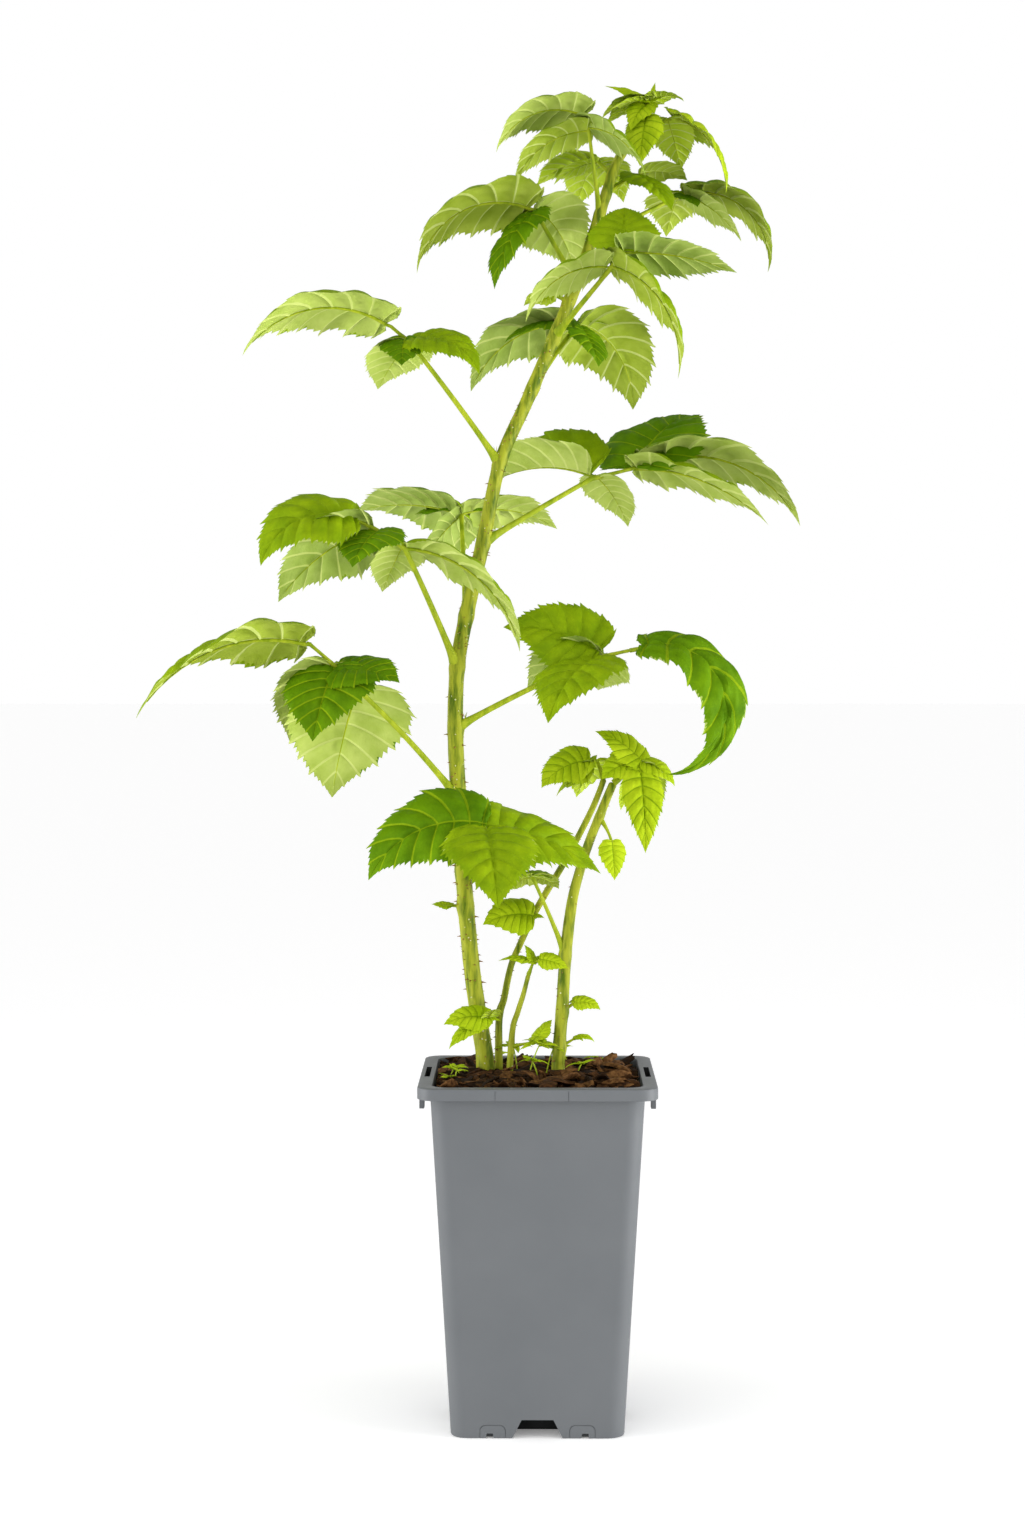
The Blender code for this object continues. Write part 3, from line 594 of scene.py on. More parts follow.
class MeshDraft:
    """Points and faces gathered from many parts, to become one joined mesh."""

    def __init__(self) -> None:
        """Starts an empty draft."""
        self.points: list[Array] = []
        self.faces: list[Face] = []
        self.kinds: list[int] = []
        self.count = 0

    def add(self, points: Array, faces: list[Face], kinds: list[int] | int = 0) -> None:
        """Adds one part.

        Args:
            points: The part's points, in millimetres.
            faces: The part's faces, as places in its points.
            kinds: The material place of each face, or of them all.
        """
        used = sorted({corner for face in faces for corner in face})
        place = {old: new + self.count for new, old in enumerate(used)}
        self.points.append(np.asarray(points)[used])
        self.faces += [tuple(place[corner] for corner in face) for face in faces]
        self.kinds += [kinds] * len(faces) if isinstance(kinds, int) else list(kinds)
        self.count += len(used)

    def to_object(
        self, name: str, materials: list[bpy.types.Material], sharp: float = SHARP_STEM,
    ) -> bpy.types.Object:
        """Makes the joined mesh.

        Args:
            name: The object's name.
            materials: Its materials, in the order that the kinds number.
            sharp: The angle between faces above which an edge is shaded sharp.

        Returns:
            The new object, in the scene.
        """
        mesh = bpy.data.meshes.new(name)
        mesh.from_pydata((np.vstack(self.points) * MM).tolist(), [], self.faces)
        for material in materials:
            mesh.materials.append(material)
        mesh.polygons.foreach_set("material_index", self.kinds)
        mesh.polygons.foreach_set("use_smooth", [True] * len(mesh.polygons))
        mesh.set_sharp_from_angle(angle=math.radians(sharp))
        mesh.update()
        return add_object(name, mesh)


def sweep(
    line: Array, radii: Array, sides: int, hints: Array | tuple[float, float, float],
) -> Shape:
    """A closed tube along a line.

    Args:
        line: The middle line's points.
        radii: The radius at each point, or one for each point and side.
        sides: How many sides the tube has.
        hints: The direction that the first side faces, once or at each point.

    Returns:
        The tube's points and faces.
    """
    line = np.asarray(line, float)
    ahead = unit(np.gradient(line, axis=0))
    hints = np.broadcast_to(np.asarray(hints, float), line.shape)
    first = unit(hints - ahead * np.sum(hints * ahead, axis=1, keepdims=True))
    second = np.cross(ahead, first)
    angles = np.arange(sides) * math.tau / sides
    radii = np.broadcast_to(np.asarray(radii, float).reshape(len(line), -1), (len(line), sides))
    spokes = (
        first[:, None] * np.cos(angles)[None, :, None]
        + second[:, None] * np.sin(angles)[None, :, None]
    )
    rings = line[:, None] + spokes * radii[:, :, None]
    points = np.vstack([rings.reshape(-1, 3), line[:1], line[-1:]])
    foot, top = len(points) - 2, len(points) - 1
    faces: list[Face] = []
    last = (len(line) - 1) * sides
    for side in range(sides):
        after = (side + 1) % sides
        for ring in range(0, last, sides):
            faces.append((ring + side, ring + after, ring + sides + after, ring + sides + side))
        faces.append((foot, after, side))
        faces.append((top, last + side, last + after))
    return points, faces


@dataclass(frozen=True)
class Finish:
    """A surface's colours, how they change over it, its fine relief and its gloss."""

    name: str
    base: RGB
    accent: RGB
    roughness: float = 0.5
    specular: float = 0.2
    mottle: float = 14.0
    stretch: tuple[float, float, float] = (1.0, 1.0, 1.0)
    grain: float = 1.2
    relief: float = 0.05
    cells: bool = False
    spread: tuple[float, float] = (0.35, 0.65)
    gloss_change: float = 0.06
    noise_roughness: float = 0.55

    def material(self) -> bpy.types.Material:
        """Makes the material.

        Returns:
            A material with its colour change, fine relief and uneven gloss in nodes.
        """
        made = bpy.data.materials.new(self.name)
        made.use_nodes = True
        made.diffuse_color = (*self.base, 1)
        tree = made.node_tree
        shader = tree.nodes["Principled BSDF"]
        shader.inputs["Specular IOR Level"].default_value = self.specular
        place = tree.nodes.new("ShaderNodeTexCoord")
        mapping = tree.nodes.new("ShaderNodeMapping")
        mapping.inputs["Scale"].default_value = self.stretch
        tree.links.new(place.outputs["Object"], mapping.inputs["Vector"])

        mottle = self._noise(tree, mapping, self.mottle, 4)
        ramp = tree.nodes.new("ShaderNodeValToRGB")
        low, high = ramp.color_ramp.elements
        low.position, high.position = self.spread
        low.color, high.color = (*self.base, 1), (*self.accent, 1)
        tree.links.new(mottle.outputs["Fac"], ramp.inputs["Fac"])
        tree.links.new(ramp.outputs["Color"], shader.inputs["Base Color"])

        gloss = tree.nodes.new("ShaderNodeMapRange")
        gloss.inputs["To Min"].default_value = self.roughness - self.gloss_change
        gloss.inputs["To Max"].default_value = self.roughness + self.gloss_change
        fine = self._noise(tree, mapping, self.grain * 3, 3)
        tree.links.new(fine.outputs["Fac"], gloss.inputs["Value"])
        tree.links.new(gloss.outputs["Result"], shader.inputs["Roughness"])

        bump = tree.nodes.new("ShaderNodeBump")
        bump.inputs["Distance"].default_value = self.relief * MM
        height = self._cells(tree, mapping) if self.cells else self._noise(tree, mapping, self.grain, 5)
        tree.links.new(height.outputs["Distance" if self.cells else "Fac"], bump.inputs["Height"])
        tree.links.new(bump.outputs["Normal"], shader.inputs["Normal"])
        return made

    def _noise(
        self, tree: bpy.types.NodeTree, mapping: bpy.types.Node, size: float, detail: int,
    ) -> bpy.types.Node:
        """A noise whose blotches are about a size across.

        Args:
            tree: The material's nodes.
            mapping: The node that gives the coordinates.
            size: The size of a blotch, in millimetres.
            detail: How many finer layers the noise has.

        Returns:
            The noise node.
        """
        made = tree.nodes.new("ShaderNodeTexNoise")
        made.inputs["Scale"].default_value = 1 / (size * MM)
        made.inputs["Detail"].default_value = detail
        made.inputs["Roughness"].default_value = self.noise_roughness
        tree.links.new(mapping.outputs["Vector"], made.inputs["Vector"])
        return made

    def _cells(self, tree: bpy.types.NodeTree, mapping: bpy.types.Node) -> bpy.types.Node:
        """The net of fine veins between a leaf's side veins, as a height.

        Args:
            tree: The material's nodes.
            mapping: The node that gives the coordinates.

        Returns:
            The cell node.
        """
        made = tree.nodes.new("ShaderNodeTexVoronoi")
        made.feature = "DISTANCE_TO_EDGE"
        made.inputs["Scale"].default_value = 1 / (self.grain * MM)
        tree.links.new(mapping.outputs["Vector"], made.inputs["Vector"])
        return made


@dataclass(frozen=True)
class LeafPalette:
    """The colours of the leaves' two sides and of their veins."""

    areole: float = 2.2
    relief: float = 0.22
    roughness: float = 0.62
    specular: float = 0.05
    mottle: float = 16.0
    spread: tuple[float, float] = (0.3, 0.7)

    COLOURS = {
        Skin.DEEP: ((0.066, 0.160, 0.0008), (0.125, 0.250, 0.0015)),
        Skin.FRESH: ((0.140, 0.240, 0.0014), (0.250, 0.365, 0.0030)),
        Skin.LIME: ((0.270, 0.400, 0.0025), (0.420, 0.540, 0.0120)),
        Skin.PALE: ((0.320, 0.420, 0.062), (0.450, 0.540, 0.125)),
        Skin.SAGE: ((0.260, 0.360, 0.055), (0.380, 0.480, 0.110)),
        Skin.OLIVE: ((0.260, 0.350, 0.022), (0.380, 0.470, 0.060)),
        Skin.LEMON: ((0.340, 0.460, 0.015), (0.450, 0.570, 0.050)),
        Skin.UPPER_VEIN: ((0.165, 0.270, 0.002), (0.250, 0.370, 0.005)),
        Skin.UNDER_VEIN: ((0.450, 0.530, 0.130), (0.540, 0.610, 0.190)),
    }

    def materials(self) -> dict[Skin, bpy.types.Material]:
        """One material for each skin."""
        return {
            skin: Finish(
                skin.value, base, accent, self.roughness, self.specular, self.mottle,
                grain=self.areole, relief=self.relief, cells=True, spread=self.spread,
            ).material()
            for skin, (base, accent) in self.COLOURS.items()
        }


STEM_GREEN = Finish(
    "stem_green", (0.190, 0.270, 0.004), (0.370, 0.430, 0.020), specular=0.12,
    mottle=5.0, stretch=(1.0, 1.0, 0.12), grain=0.9, relief=0.06,
)
CANE_GREEN = Finish(
    "cane_green", (0.070, 0.125, 0.002), (0.320, 0.350, 0.020), specular=0.12,
    mottle=4.0, stretch=(1.0, 1.0, 0.16), grain=0.8, relief=0.16, spread=(0.34, 0.56),
)
PRICKLE_FINISHES = (
    Finish("prickle_tan", (0.200, 0.150, 0.020), (0.260, 0.110, 0.030), mottle=2.0),
    Finish("prickle_pale", (0.560, 0.580, 0.260), (0.680, 0.660, 0.380), mottle=2.0),
)
POT_GREY = Finish(
    "pot_grey", (0.112, 0.120, 0.128), (0.130, 0.138, 0.146), specular=0.30,
    mottle=60.0, grain=0.7, relief=0.035, spread=(0.2, 0.8),
)
# Painted shade: a near-black colour put on the faces inside the foot notches, drain notches and rim slots in
# place of their shadow
POT_PAINTED_SHADE = Finish(
    "pot_painted_shade", (0.016, 0.017, 0.018), (0.026, 0.027, 0.029), roughness=0.7, specular=0.1,
    mottle=20.0, grain=0.7, relief=0.03,
)
COMPOST = Finish(
    "compost", (0.008, 0.004, 0.002), (0.035, 0.016, 0.006), roughness=0.9, specular=0.06,
    mottle=2.5, relief=0.5,
)
BARK_FINISHES = (
    Finish(
        "bark_dark", (0.006, 0.003, 0.001), (0.030, 0.013, 0.004), roughness=0.85, specular=0.08,
        mottle=2.0, grain=0.7, relief=0.35,
    ),
    Finish(
        "bark_brown", (0.022, 0.009, 0.003), (0.078, 0.033, 0.010), roughness=0.82, specular=0.08,
        mottle=2.4, grain=0.7, relief=0.35,
    ),
    Finish(
        "bark_russet", (0.045, 0.018, 0.005), (0.190, 0.090, 0.030), roughness=0.8, specular=0.08,
        mottle=2.8, grain=0.8, relief=0.3,
    ),
)


@dataclass
class Pot:
    """The square nursery pot: a thin tapering wall, a folded rim, foot notches and drain notches."""

    height: float = 223.5
    base_width: float = 109.6
    neck_width: float = 135.0
    rim_width: float = 150.0
    rim_height: float = 7.4
    wall: float = 1.6
    corner: float = 11.0
    corner_steps: int = 10
    lip: float = 0.6
    notch_foot: float = 33.0
    notch_top: float = 20.0
    notch_height: float = 12.0
    notch_depth: float = 22.0
    drain_size: tuple[float, float] = (5.0, 3.3)
    drain_place: float = 30.0
    arch_size: tuple[float, float] = (16.0, 8.6)
    arch_radius: float = 3.5
    arch_place: float = 0.94
    slot_size: tuple[float, float] = (3.4, 42.0)
    slot_depth: float = 6.4
    clip_drop: float = 8.5
    clip_size: tuple[float, float] = (3.0, 12.0)
    clip_places: tuple[float, float] = (-45.0, 45.0)
    seam_places: tuple[float, float] = (-26.3, 19.2)
    groove: float = 0.45
    bevel: float = 0.3
    clearance: float = 6.0

    def half_at(self, height: float) -> float:
        """Half the outer width of the wall at a height."""
        return (self.base_width + (self.neck_width - self.base_width) * height / self.height) / 2

    def profile(self) -> list[tuple[float, float, float]]:
        """The wall's outline from the middle of its underside round to the middle of its floor.

        Returns:
            The half width, height and corner radius of each ring.
        """
        lip, wall, top, bevel, corner = self.lip, self.wall, self.height, self.bevel, self.corner
        half, band = self.base_width / 2, self.rim_width / 2
        skirt, ceiling = top - self.rim_height, top - wall
        neck = self.half_at(ceiling)
        mouth = self.half_at(top) - wall
        rings = [
            (half - 4 * bevel, 0.0, corner - 1.0),
            (half - 0.35, bevel, corner - bevel),
            (self.half_at(4 * bevel), 4 * bevel, corner),
        ]
        rings += [(self.half_at(z), z, corner) for z in np.linspace(8, ceiling - 1, 14)]
        rings += [
            (neck + bevel, ceiling - bevel, corner),
            (neck + 4 * bevel, ceiling, corner),
            (band - wall - 2 * bevel, ceiling, corner - 0.5),
            (band - wall, ceiling - 2 * bevel, corner),
            (band - wall, skirt + bevel, corner),
            (band - wall + bevel, skirt, corner),
            (band - bevel, skirt, corner + 0.7),
            (band, skirt + bevel, corner + 1.0),
            (band, top - lip * 1.6, corner + 1.0),
            (band - lip * 0.3, top - lip * 0.5, corner + 0.8),
            (band - lip * 1.4, top, corner + 0.2),
            (mouth + lip * 1.4, top, corner - 0.2),
            (mouth + lip * 0.3, top - lip * 0.5, corner - 0.9),
            (mouth, top - lip * 1.6, corner - wall),
        ]
        rings += [(self.half_at(z) - wall, z, corner - wall) for z in np.linspace(top - 8, wall + 3, 8)]
        rings.append((self.half_at(wall) - wall - 1.0, wall, corner - wall - 1.0))
        return rings

    def ring(self, half: float, height: float, radius: float) -> Array:
        """The points of one square ring with rounded corners.

        Args:
            half: Half the ring's width.
            height: The ring's height.
            radius: The radius of its corners.

        Returns:
            The points, anticlockwise from the right side.
        """
        turns = np.linspace(0, math.pi / 2, self.corner_steps + 1)
        points = []
        for quarter in range(4):
            across, up = ((1, 1), (-1, 1), (-1, -1), (1, -1))[quarter]
            angles = turns + quarter * math.pi / 2
            x = across * (half - radius) + radius * np.cos(angles)
            y = up * (half - radius) + radius * np.sin(angles)
            points.append(np.stack([x, y, np.full_like(x, height)], axis=-1))
        return np.vstack(points)

    def shell(self) -> bpy.types.Object:
        """The pot's closed wall before its openings are cut."""
        rings = [self.ring(*ring) for ring in self.profile()]
        count = len(rings[0])
        faces: list[Face] = [tuple(range(count))[::-1]]
        for level in range(len(rings) - 1):
            low, high = level * count, (level + 1) * count
            for place in range(count):
                after = (place + 1) % count
                faces.append((low + place, low + after, high + after, high + place))
        faces.append(tuple(range((len(rings) - 1) * count, len(rings) * count)))
        draft = MeshDraft()
        draft.add(np.vstack(rings), faces)
        return draft.to_object("pot_body", [])

    def block(
        self, name: str, foot: float, top: float, low: float, high: float, near: float, far: float,
        side: int, place: float = 0.0,
    ) -> bpy.types.Object:
        """A block with a trapezoid front, set in one of the four sides.

        Args:
            name: The block's name.
            foot: Its width at the bottom.
            top: Its width at the top.
            low: The height of its bottom.
            high: The height of its top.
            near: How far its inner face is from the pot's middle.
            far: How far its outer face is from the pot's middle.
            side: The quarter turns from the front.
            place: How far it stands to the right of the side's middle.

        Returns:
            The block, hidden from the render.
        """
        shape = bmesh.new()
        bmesh.ops.create_cube(shape, size=1)
        for vert in shape.verts:
            above = vert.co.z > 0
            width, height = (top, high) if above else (foot, low)
            depth = -near if vert.co.y > 0 else -far
            vert.co = Vector((vert.co.x * width + place, depth, height)) * MM
        return self._tool(name, shape, side)

    def arch(self, side: int, place: float) -> bpy.types.Object:
        """A shallow groove in the outline of an arch, round a drain notch.

        Args:
            side: The quarter turns from the front.
            place: How far it stands to the right of the side's middle.

        Returns:
            The shape to cut, hidden from the render.
        """
        wide, tall = self.arch_size
        radius = self.arch_radius
        turns = np.linspace(0, math.pi / 2, 7)
        corner = wide / 2 - radius
        right = [(corner + radius * math.sin(t), tall - radius + radius * math.cos(t)) for t in turns]
        outline = [(-x, z) for x, z in reversed(right)] + right
        outline = [(-wide / 2, -1.0), *outline, (wide / 2, -1.0)]
        shape = bmesh.new()
        rows = []
        for grow in (-self.groove / 2, self.groove / 2):
            for depth in (1.0, -self.groove):
                row = []
                for x, z in outline:
                    spread = 1 + grow / (wide / 2)
                    out = self.half_at(z) + depth
                    row.append(shape.verts.new(Vector((x * spread + place, -out, z * spread)) * MM))
                rows.append(row)
        inner_out, inner_in, outer_out, outer_in = rows
        for first, second in (
            (inner_in, inner_out), (inner_out, outer_out), (outer_out, outer_in), (outer_in, inner_in),
        ):
            for step in range(len(outline) - 1):
                shape.faces.new((first[step], second[step], second[step + 1], first[step + 1]))
        shape.faces.new((inner_in[0], outer_in[0], outer_out[0], inner_out[0]))
        shape.faces.new((inner_out[-1], outer_out[-1], outer_in[-1], inner_in[-1]))
        bmesh.ops.recalc_face_normals(shape, faces=shape.faces)
        return self._tool("arch", shape, side)

    def _tool(self, name: str, shape: bmesh.types.BMesh, side: int) -> bpy.types.Object:
        """A shape that only cuts or joins, turned to its side and hidden from the render.

        Args:
            name: The shape's name.
            shape: The shape, as it stands at the front.
            side: The quarter turns from the front.

        Returns:
            The shape as an object.
        """
        bmesh.ops.rotate(shape, verts=shape.verts, matrix=Matrix.Rotation(side * math.pi / 2, 3, "Z"))
        made = add_object(name, free_to_mesh(name, shape))
        made.hide_render = True
        return made

    def _apply(self, target: bpy.types.Object, operation: str, tools: list[bpy.types.Object]) -> None:
        """Joins shapes to the pot or cuts them from it, and removes them.

        Args:
            target: The pot.
            operation: UNION or DIFFERENCE.
            tools: The shapes.
        """
        home = bpy.data.collections.new("pot_tools")
        for tool in tools:
            home.objects.link(tool)
        change = target.modifiers.new("change", "BOOLEAN")
        change.operation = operation
        change.solver = "EXACT"
        change.operand_type = "COLLECTION"
        change.collection = home
        bpy.context.view_layer.update()
        graph = bpy.context.evaluated_depsgraph_get()
        changed = bpy.data.meshes.new_from_object(target.evaluated_get(graph))
        target.modifiers.clear()
        old, target.data = target.data, changed
        bpy.data.meshes.remove(old)
        for tool in tools:
            bpy.data.objects.remove(tool)
        bpy.data.collections.remove(home)

    def hoods(self) -> list[bpy.types.Object]:
        """The boxes behind the foot notches and under the rim slots, and the clips under the rim."""
        half, wall = self.base_width / 2, self.wall
        made = [
            self.block(
                "hood", self.notch_foot + 2 * wall, self.notch_top + 2 * wall, 0.05,
                self.notch_height + wall, half - self.notch_depth - wall, half - wall / 2, side,
            )
            for side in range(4)
        ]
        depth, width = self.clip_size
        band = self.rim_width / 2 - wall / 2
        skirt = self.height - self.rim_height
        long = self.slot_size[1] + 4 * wall
        for side in (1, 3):
            made += [
                self.block(
                    "clip", width * 0.8, width, skirt - self.clip_drop, self.height - wall / 2,
                    band - depth, band, side, place,
                )
                for place in self.clip_places
            ]
            made.append(self.block(
                "pocket", long, long, skirt + wall / 4, self.height - wall / 2,
                self.neck_width / 2 - wall / 2, band, side,
            ))
        return made

    def openings(self) -> list[bpy.types.Object]:
        """The foot notches, drain notches, rim slots and seams to cut."""
        half, rim = self.base_width / 2, self.rim_width / 2
        made = []
        for side in range(4):
            made.append(self.block(
                "notch", self.notch_foot, self.notch_top, -1, self.notch_height,
                half - self.notch_depth, half + self.clearance, side,
            ))
            for place in (-self.drain_place, self.drain_place):
                wide, tall = self.drain_size
                made.append(self.block(
                    "drain", wide, wide * 0.8, -1, tall,
                    half - 3 * self.wall, half + self.clearance, side, place,
                ))
                made.append(self.arch(side, place * self.arch_place))
        middle = (rim + self.neck_width / 2 - self.wall) / 2
        wide, long = self.slot_size
        for side in (1, 3):
            made.append(self.block(
                "slot", long, long, self.height - self.slot_depth, self.height + 1,
                middle - wide / 2, middle + wide / 2, side,
            ))
        for place in self.seam_places:
            made.append(self.block(
                "seam", self.groove, self.groove, self.height - self.rim_height - 1,
                self.height - self.lip * 2, rim - self.groove * 0.8, rim + 2, 0, place,
            ))
        return made

    def in_painted_shade(self, middle: Vector) -> bool:
        """Whether a face lies in a foot notch, a drain notch or a rim slot, where no light falls, so that it
        takes the painted shade.

        Args:
            middle: The middle of the face.

        Returns:
            True for a face in one of them.
        """
        aside, out = sorted((abs(middle.x), abs(middle.y)))
        half, wall = self.base_width / 2, self.wall
        if middle.z < self.notch_height + wall / 2:
            notch = aside < self.notch_foot / 2 and half - self.notch_depth - wall / 2 < out < half - wall / 3
            drain = abs(aside - self.drain_place) < self.drain_size[0] / 2 and middle.z > 0.1
            return notch or (drain and half - 2.8 * wall < out < half - wall / 3)
        long = self.slot_size[1] / 2 + wall / 2
        deep = self.height - self.slot_depth - wall / 4 < middle.z < self.height - wall / 4
        inner, outer = self.neck_width / 2 + 0.4, self.rim_width / 2 - wall
        return abs(middle.y) < long and deep and inner < abs(middle.x) < outer

    def build(self) -> bpy.types.Object:
        """Builds and dresses the pot.

        Returns:
            The pot, standing for its solid.
        """
        pot = self.shell()
        self._apply(pot, "UNION", self.hoods())
        self._apply(pot, "DIFFERENCE", self.openings())
        pot.name = pot.data.name = "square_pot"
        pot.data.materials.clear()
        pot.data.materials.append(POT_GREY.material())
        pot.data.materials.append(POT_PAINTED_SHADE.material())
        # The faces inside the notches and slots take the second material, the dark painted shade
        for face in pot.data.polygons:
            face.material_index = int(self.in_painted_shade(face.center / MM))
        pot.data.polygons.foreach_set("use_smooth", [True] * len(pot.data.polygons))
        pot.data.set_sharp_from_angle(angle=math.radians(SHARP_PLASTIC))
        return pot


@dataclass
class BarkMulch:
    """The compost that fills the pot and the bark chips heaped on it."""

    half_mouth: float = 64.6
    corner: float = 9.0
    edge: float = 213.0
    top: float = 219.5
    shoulder: float = 16.0
    grid: int = 84
    lumps: float = 1.6
    lump_size: float = 11.0
    lump_detail: tuple[float, float, int] = (0.9, 2.1, 4)
    depth: float = 12.0
    chips: int = 560
    chip_length: tuple[float, float] = (9.0, 27.0)
    chip_slimness: tuple[float, float] = (0.32, 0.66)
    chip_thickness: tuple[float, float] = (1.6, 3.4)
    chip_tilt: tuple[float, float] = (0.30, 0.20)
    chip_grid: tuple[int, int] = (7, 6)
    # Shares of a chip's width, or of its length for the bow and the ragged ends
    chip_curl: tuple[float, float] = (-0.5, 1.3)
    chip_bow: float = 0.12
    chip_ragged: float = 0.09
    chip_sway: float = 0.04
    chip_ridges: tuple[float, float] = (0.7, 1.2)
    chip_waist: tuple[float, float] = (0.65, 1.0)
    # How much more often a chip is short than long
    shortness: float = 1.7
    heap_rise: float = 3.2
    # The slimness, thickness, lift and roll of the chips that stand up
    standing_shape: tuple[float, float, float, float] = (0.4, 2.4, 6.0, 0.3)
    # Their places to the right and back, their lengths, and their leans and headings in radians
    standing: tuple[tuple[float, float, float, float, float], ...] = (
        (44.0, 30.0, 17.0, -0.75, 0.35), (36.0, 22.0, 20.0, -0.35, 0.9), (52.0, 8.0, 22.0, -0.2, 2.6),
        (4.0, -30.0, 13.0, 0.5, 1.2), (-4.0, -38.0, 16.0, -0.3, 2.2), (-40.0, 12.0, 20.0, -0.4, 2.2),
    )
    seed: int = 11

    def ground(self, x: float, y: float) -> float:
        """The height of the compost at a place."""
        inward = min(self.half_mouth - abs(x), self.half_mouth - abs(y)) / self.shoulder
        rise = min(max(inward, 0.0), 1.0)
        lump = noise.fractal(Vector((x, y, 7.0)) / self.lump_size, *self.lump_detail)
        return self.edge + (self.top - self.edge) * rise * (2 - rise) + lump * self.lumps

    def inside(self, points: Array) -> Array:
        """The points, with any beyond the pot's inner wall drawn in to it.

        Args:
            points: The points.

        Returns:
            The points, none of them in the wall.
        """
        held = np.array(points, float)
        straight = self.half_mouth - self.corner
        over = np.abs(held[:, :2]) - straight
        in_corner = (over > 0).all(axis=1)
        reach = np.maximum(np.linalg.norm(np.maximum(over, 0), axis=1), 1e-6)
        scale = np.where(in_corner & (reach > self.corner), self.corner / reach, 1.0)[:, None]
        drawn = np.sign(held[:, :2]) * (straight + over * scale)
        held[:, :2] = np.where(in_corner[:, None], drawn, held[:, :2])
        held[:, :2] = np.clip(held[:, :2], -self.half_mouth, self.half_mouth)
        return held

    def compost(self) -> bpy.types.Object:
        """The lumpy top of the compost, on a block that reaches down into the pot."""
        steps = np.linspace(-self.half_mouth, self.half_mouth, self.grid)
        x, y = np.meshgrid(steps, steps, indexing="ij")
        top = np.stack([x.ravel(), y.ravel(), np.zeros(x.size)], axis=-1)
        top = self.inside(top)
        top[:, 2] = [self.ground(px, py) for px, py, _ in top]
        faces = grid_faces(self.grid, self.grid)
        ring = grid_border(self.grid, self.grid)
        foot = top[ring].copy()
        foot[:, 2] = self.edge - self.depth
        first = len(top)
        points = np.vstack([top, foot])
        for place, upper in enumerate(ring):
            after = (place + 1) % len(ring)
            faces.append((upper, first + place, first + after, ring[after]))
        faces.append(tuple(range(first, first + len(ring)))[::-1])
        draft = MeshDraft()
        draft.add(points, faces)
        return draft.to_object("compost_top", [COMPOST.material()])

    def chip(self, rng: random.Random, length: float, width: float, thick: float) -> Shape:
        """A flake of bark along X: ragged ends, ridges along the grain and a slight curl.

        Args:
            rng: The source of its chances.
            length: How long it is.
            width: How wide it is.
            thick: How thick it is at most.

        Returns:
            Its points and faces.
        """
        rows, columns = self.chip_grid
        curl = rng.uniform(*self.chip_curl)
        bow = rng.uniform(-self.chip_bow, self.chip_bow) * length
        ragged = [rng.uniform(-self.chip_ragged, self.chip_ragged) * length for _ in range(2 * columns)]
        ridges = [rng.uniform(*self.chip_ridges) for _ in range(columns)]
        waist = rng.uniform(*self.chip_waist)
        tops, foots = [], []
        for row in range(rows):
            u = row / (rows - 1) * 2 - 1
            for column in range(columns):
                v = column / (columns - 1) * 2 - 1
                end = ragged[column] if u < 0 else ragged[columns + column]
                x = u * length / 2 + end * abs(u) ** 3
                taper = 1 - (1 - waist) * u * u
                y = v * width / 2 * taper + rng.uniform(-self.chip_sway, self.chip_sway) * width
                rounded = (1 - 0.75 * v ** 4) * (1 - 0.6 * u ** 6)
                height = thick * 0.5 * rounded * ridges[column] * rng.uniform(0.85, 1.15)
                arch = bow * (1 - u * u) - curl * width * 0.35 * v * v
                tops.append((x, y, arch + height))
                foots.append((x, y, arch - height * 0.8))
        points = np.array(tops + foots)
        under = rows * columns
        faces = []
        for face in grid_faces(rows, columns):
            turned = (face[0], *face[:0:-1])
            faces += [face, tuple(corner + under for corner in turned)]
        border = grid_border(rows, columns)
        for place, a in enumerate(border):
            b = border[(place + 1) % len(border)]
            faces.append((a, a + under, b + under, b))
        return points, faces

    def place_chip(
        self, draft: MeshDraft, rng: random.Random, x: float, y: float, lift: float,
        size: tuple[float, float, float], turn: tuple[float, float, float],
    ) -> None:
        """Lays one chip on the heap.

        Args:
            draft: The mesh it joins.
            rng: The source of its chances.
            x: Its place to the right.
            y: Its place to the back.
            lift: How high its middle is over the compost.
            size: Its length, width and thickness.
            turn: Its roll, pitch and yaw, in radians.
        """
        points, faces = self.chip(rng, *size)
        roll, pitch, yaw = turn
        matrix = (
            Matrix.Rotation(yaw, 3, "Z") @ Matrix.Rotation(pitch, 3, "Y") @ Matrix.Rotation(roll, 3, "X")
        )
        placed = points @ np.array(matrix).T + np.array([x, y, self.ground(x, y) + lift])
        kind = rng.choices(range(len(BARK_FINISHES)))[0]
        draft.add(self.inside(placed), faces, kind)

    def heap(self) -> bpy.types.Object:
        """The loose chips, from the lowest layer to the few that stand up on the heap."""
        rng = random.Random(self.seed)
        draft = MeshDraft()
        shortest, longest = self.chip_length
        for number in range(self.chips):
            layer = number / self.chips
            x, y = (rng.uniform(-1, 1) * (self.half_mouth - 2) for _ in range(2))
            length = shortest + (longest - shortest) * rng.random() ** self.shortness
            size = (length, length * rng.uniform(*self.chip_slimness), rng.uniform(*self.chip_thickness))
            turn = (*(rng.gauss(0, tilt) for tilt in self.chip_tilt), rng.uniform(0, math.tau))
            lift = layer * self.heap_rise + rng.uniform(0, 1.0)
            self.place_chip(draft, rng, x, y, lift, size, turn)
        slimness, thick, lift, roll = self.standing_shape
        for x, y, length, lean, yaw in self.standing:
            size = (length, length * slimness, thick)
            self.place_chip(draft, rng, x, y, lift, size, (roll, lean, yaw))
        return draft.to_object("bark_chips", [finish.material() for finish in BARK_FINISHES], SHARP_BARK)

    def build(self) -> list[bpy.types.Object]:
        """Builds and dresses the compost and the chips."""
        return [self.compost(), self.heap()]


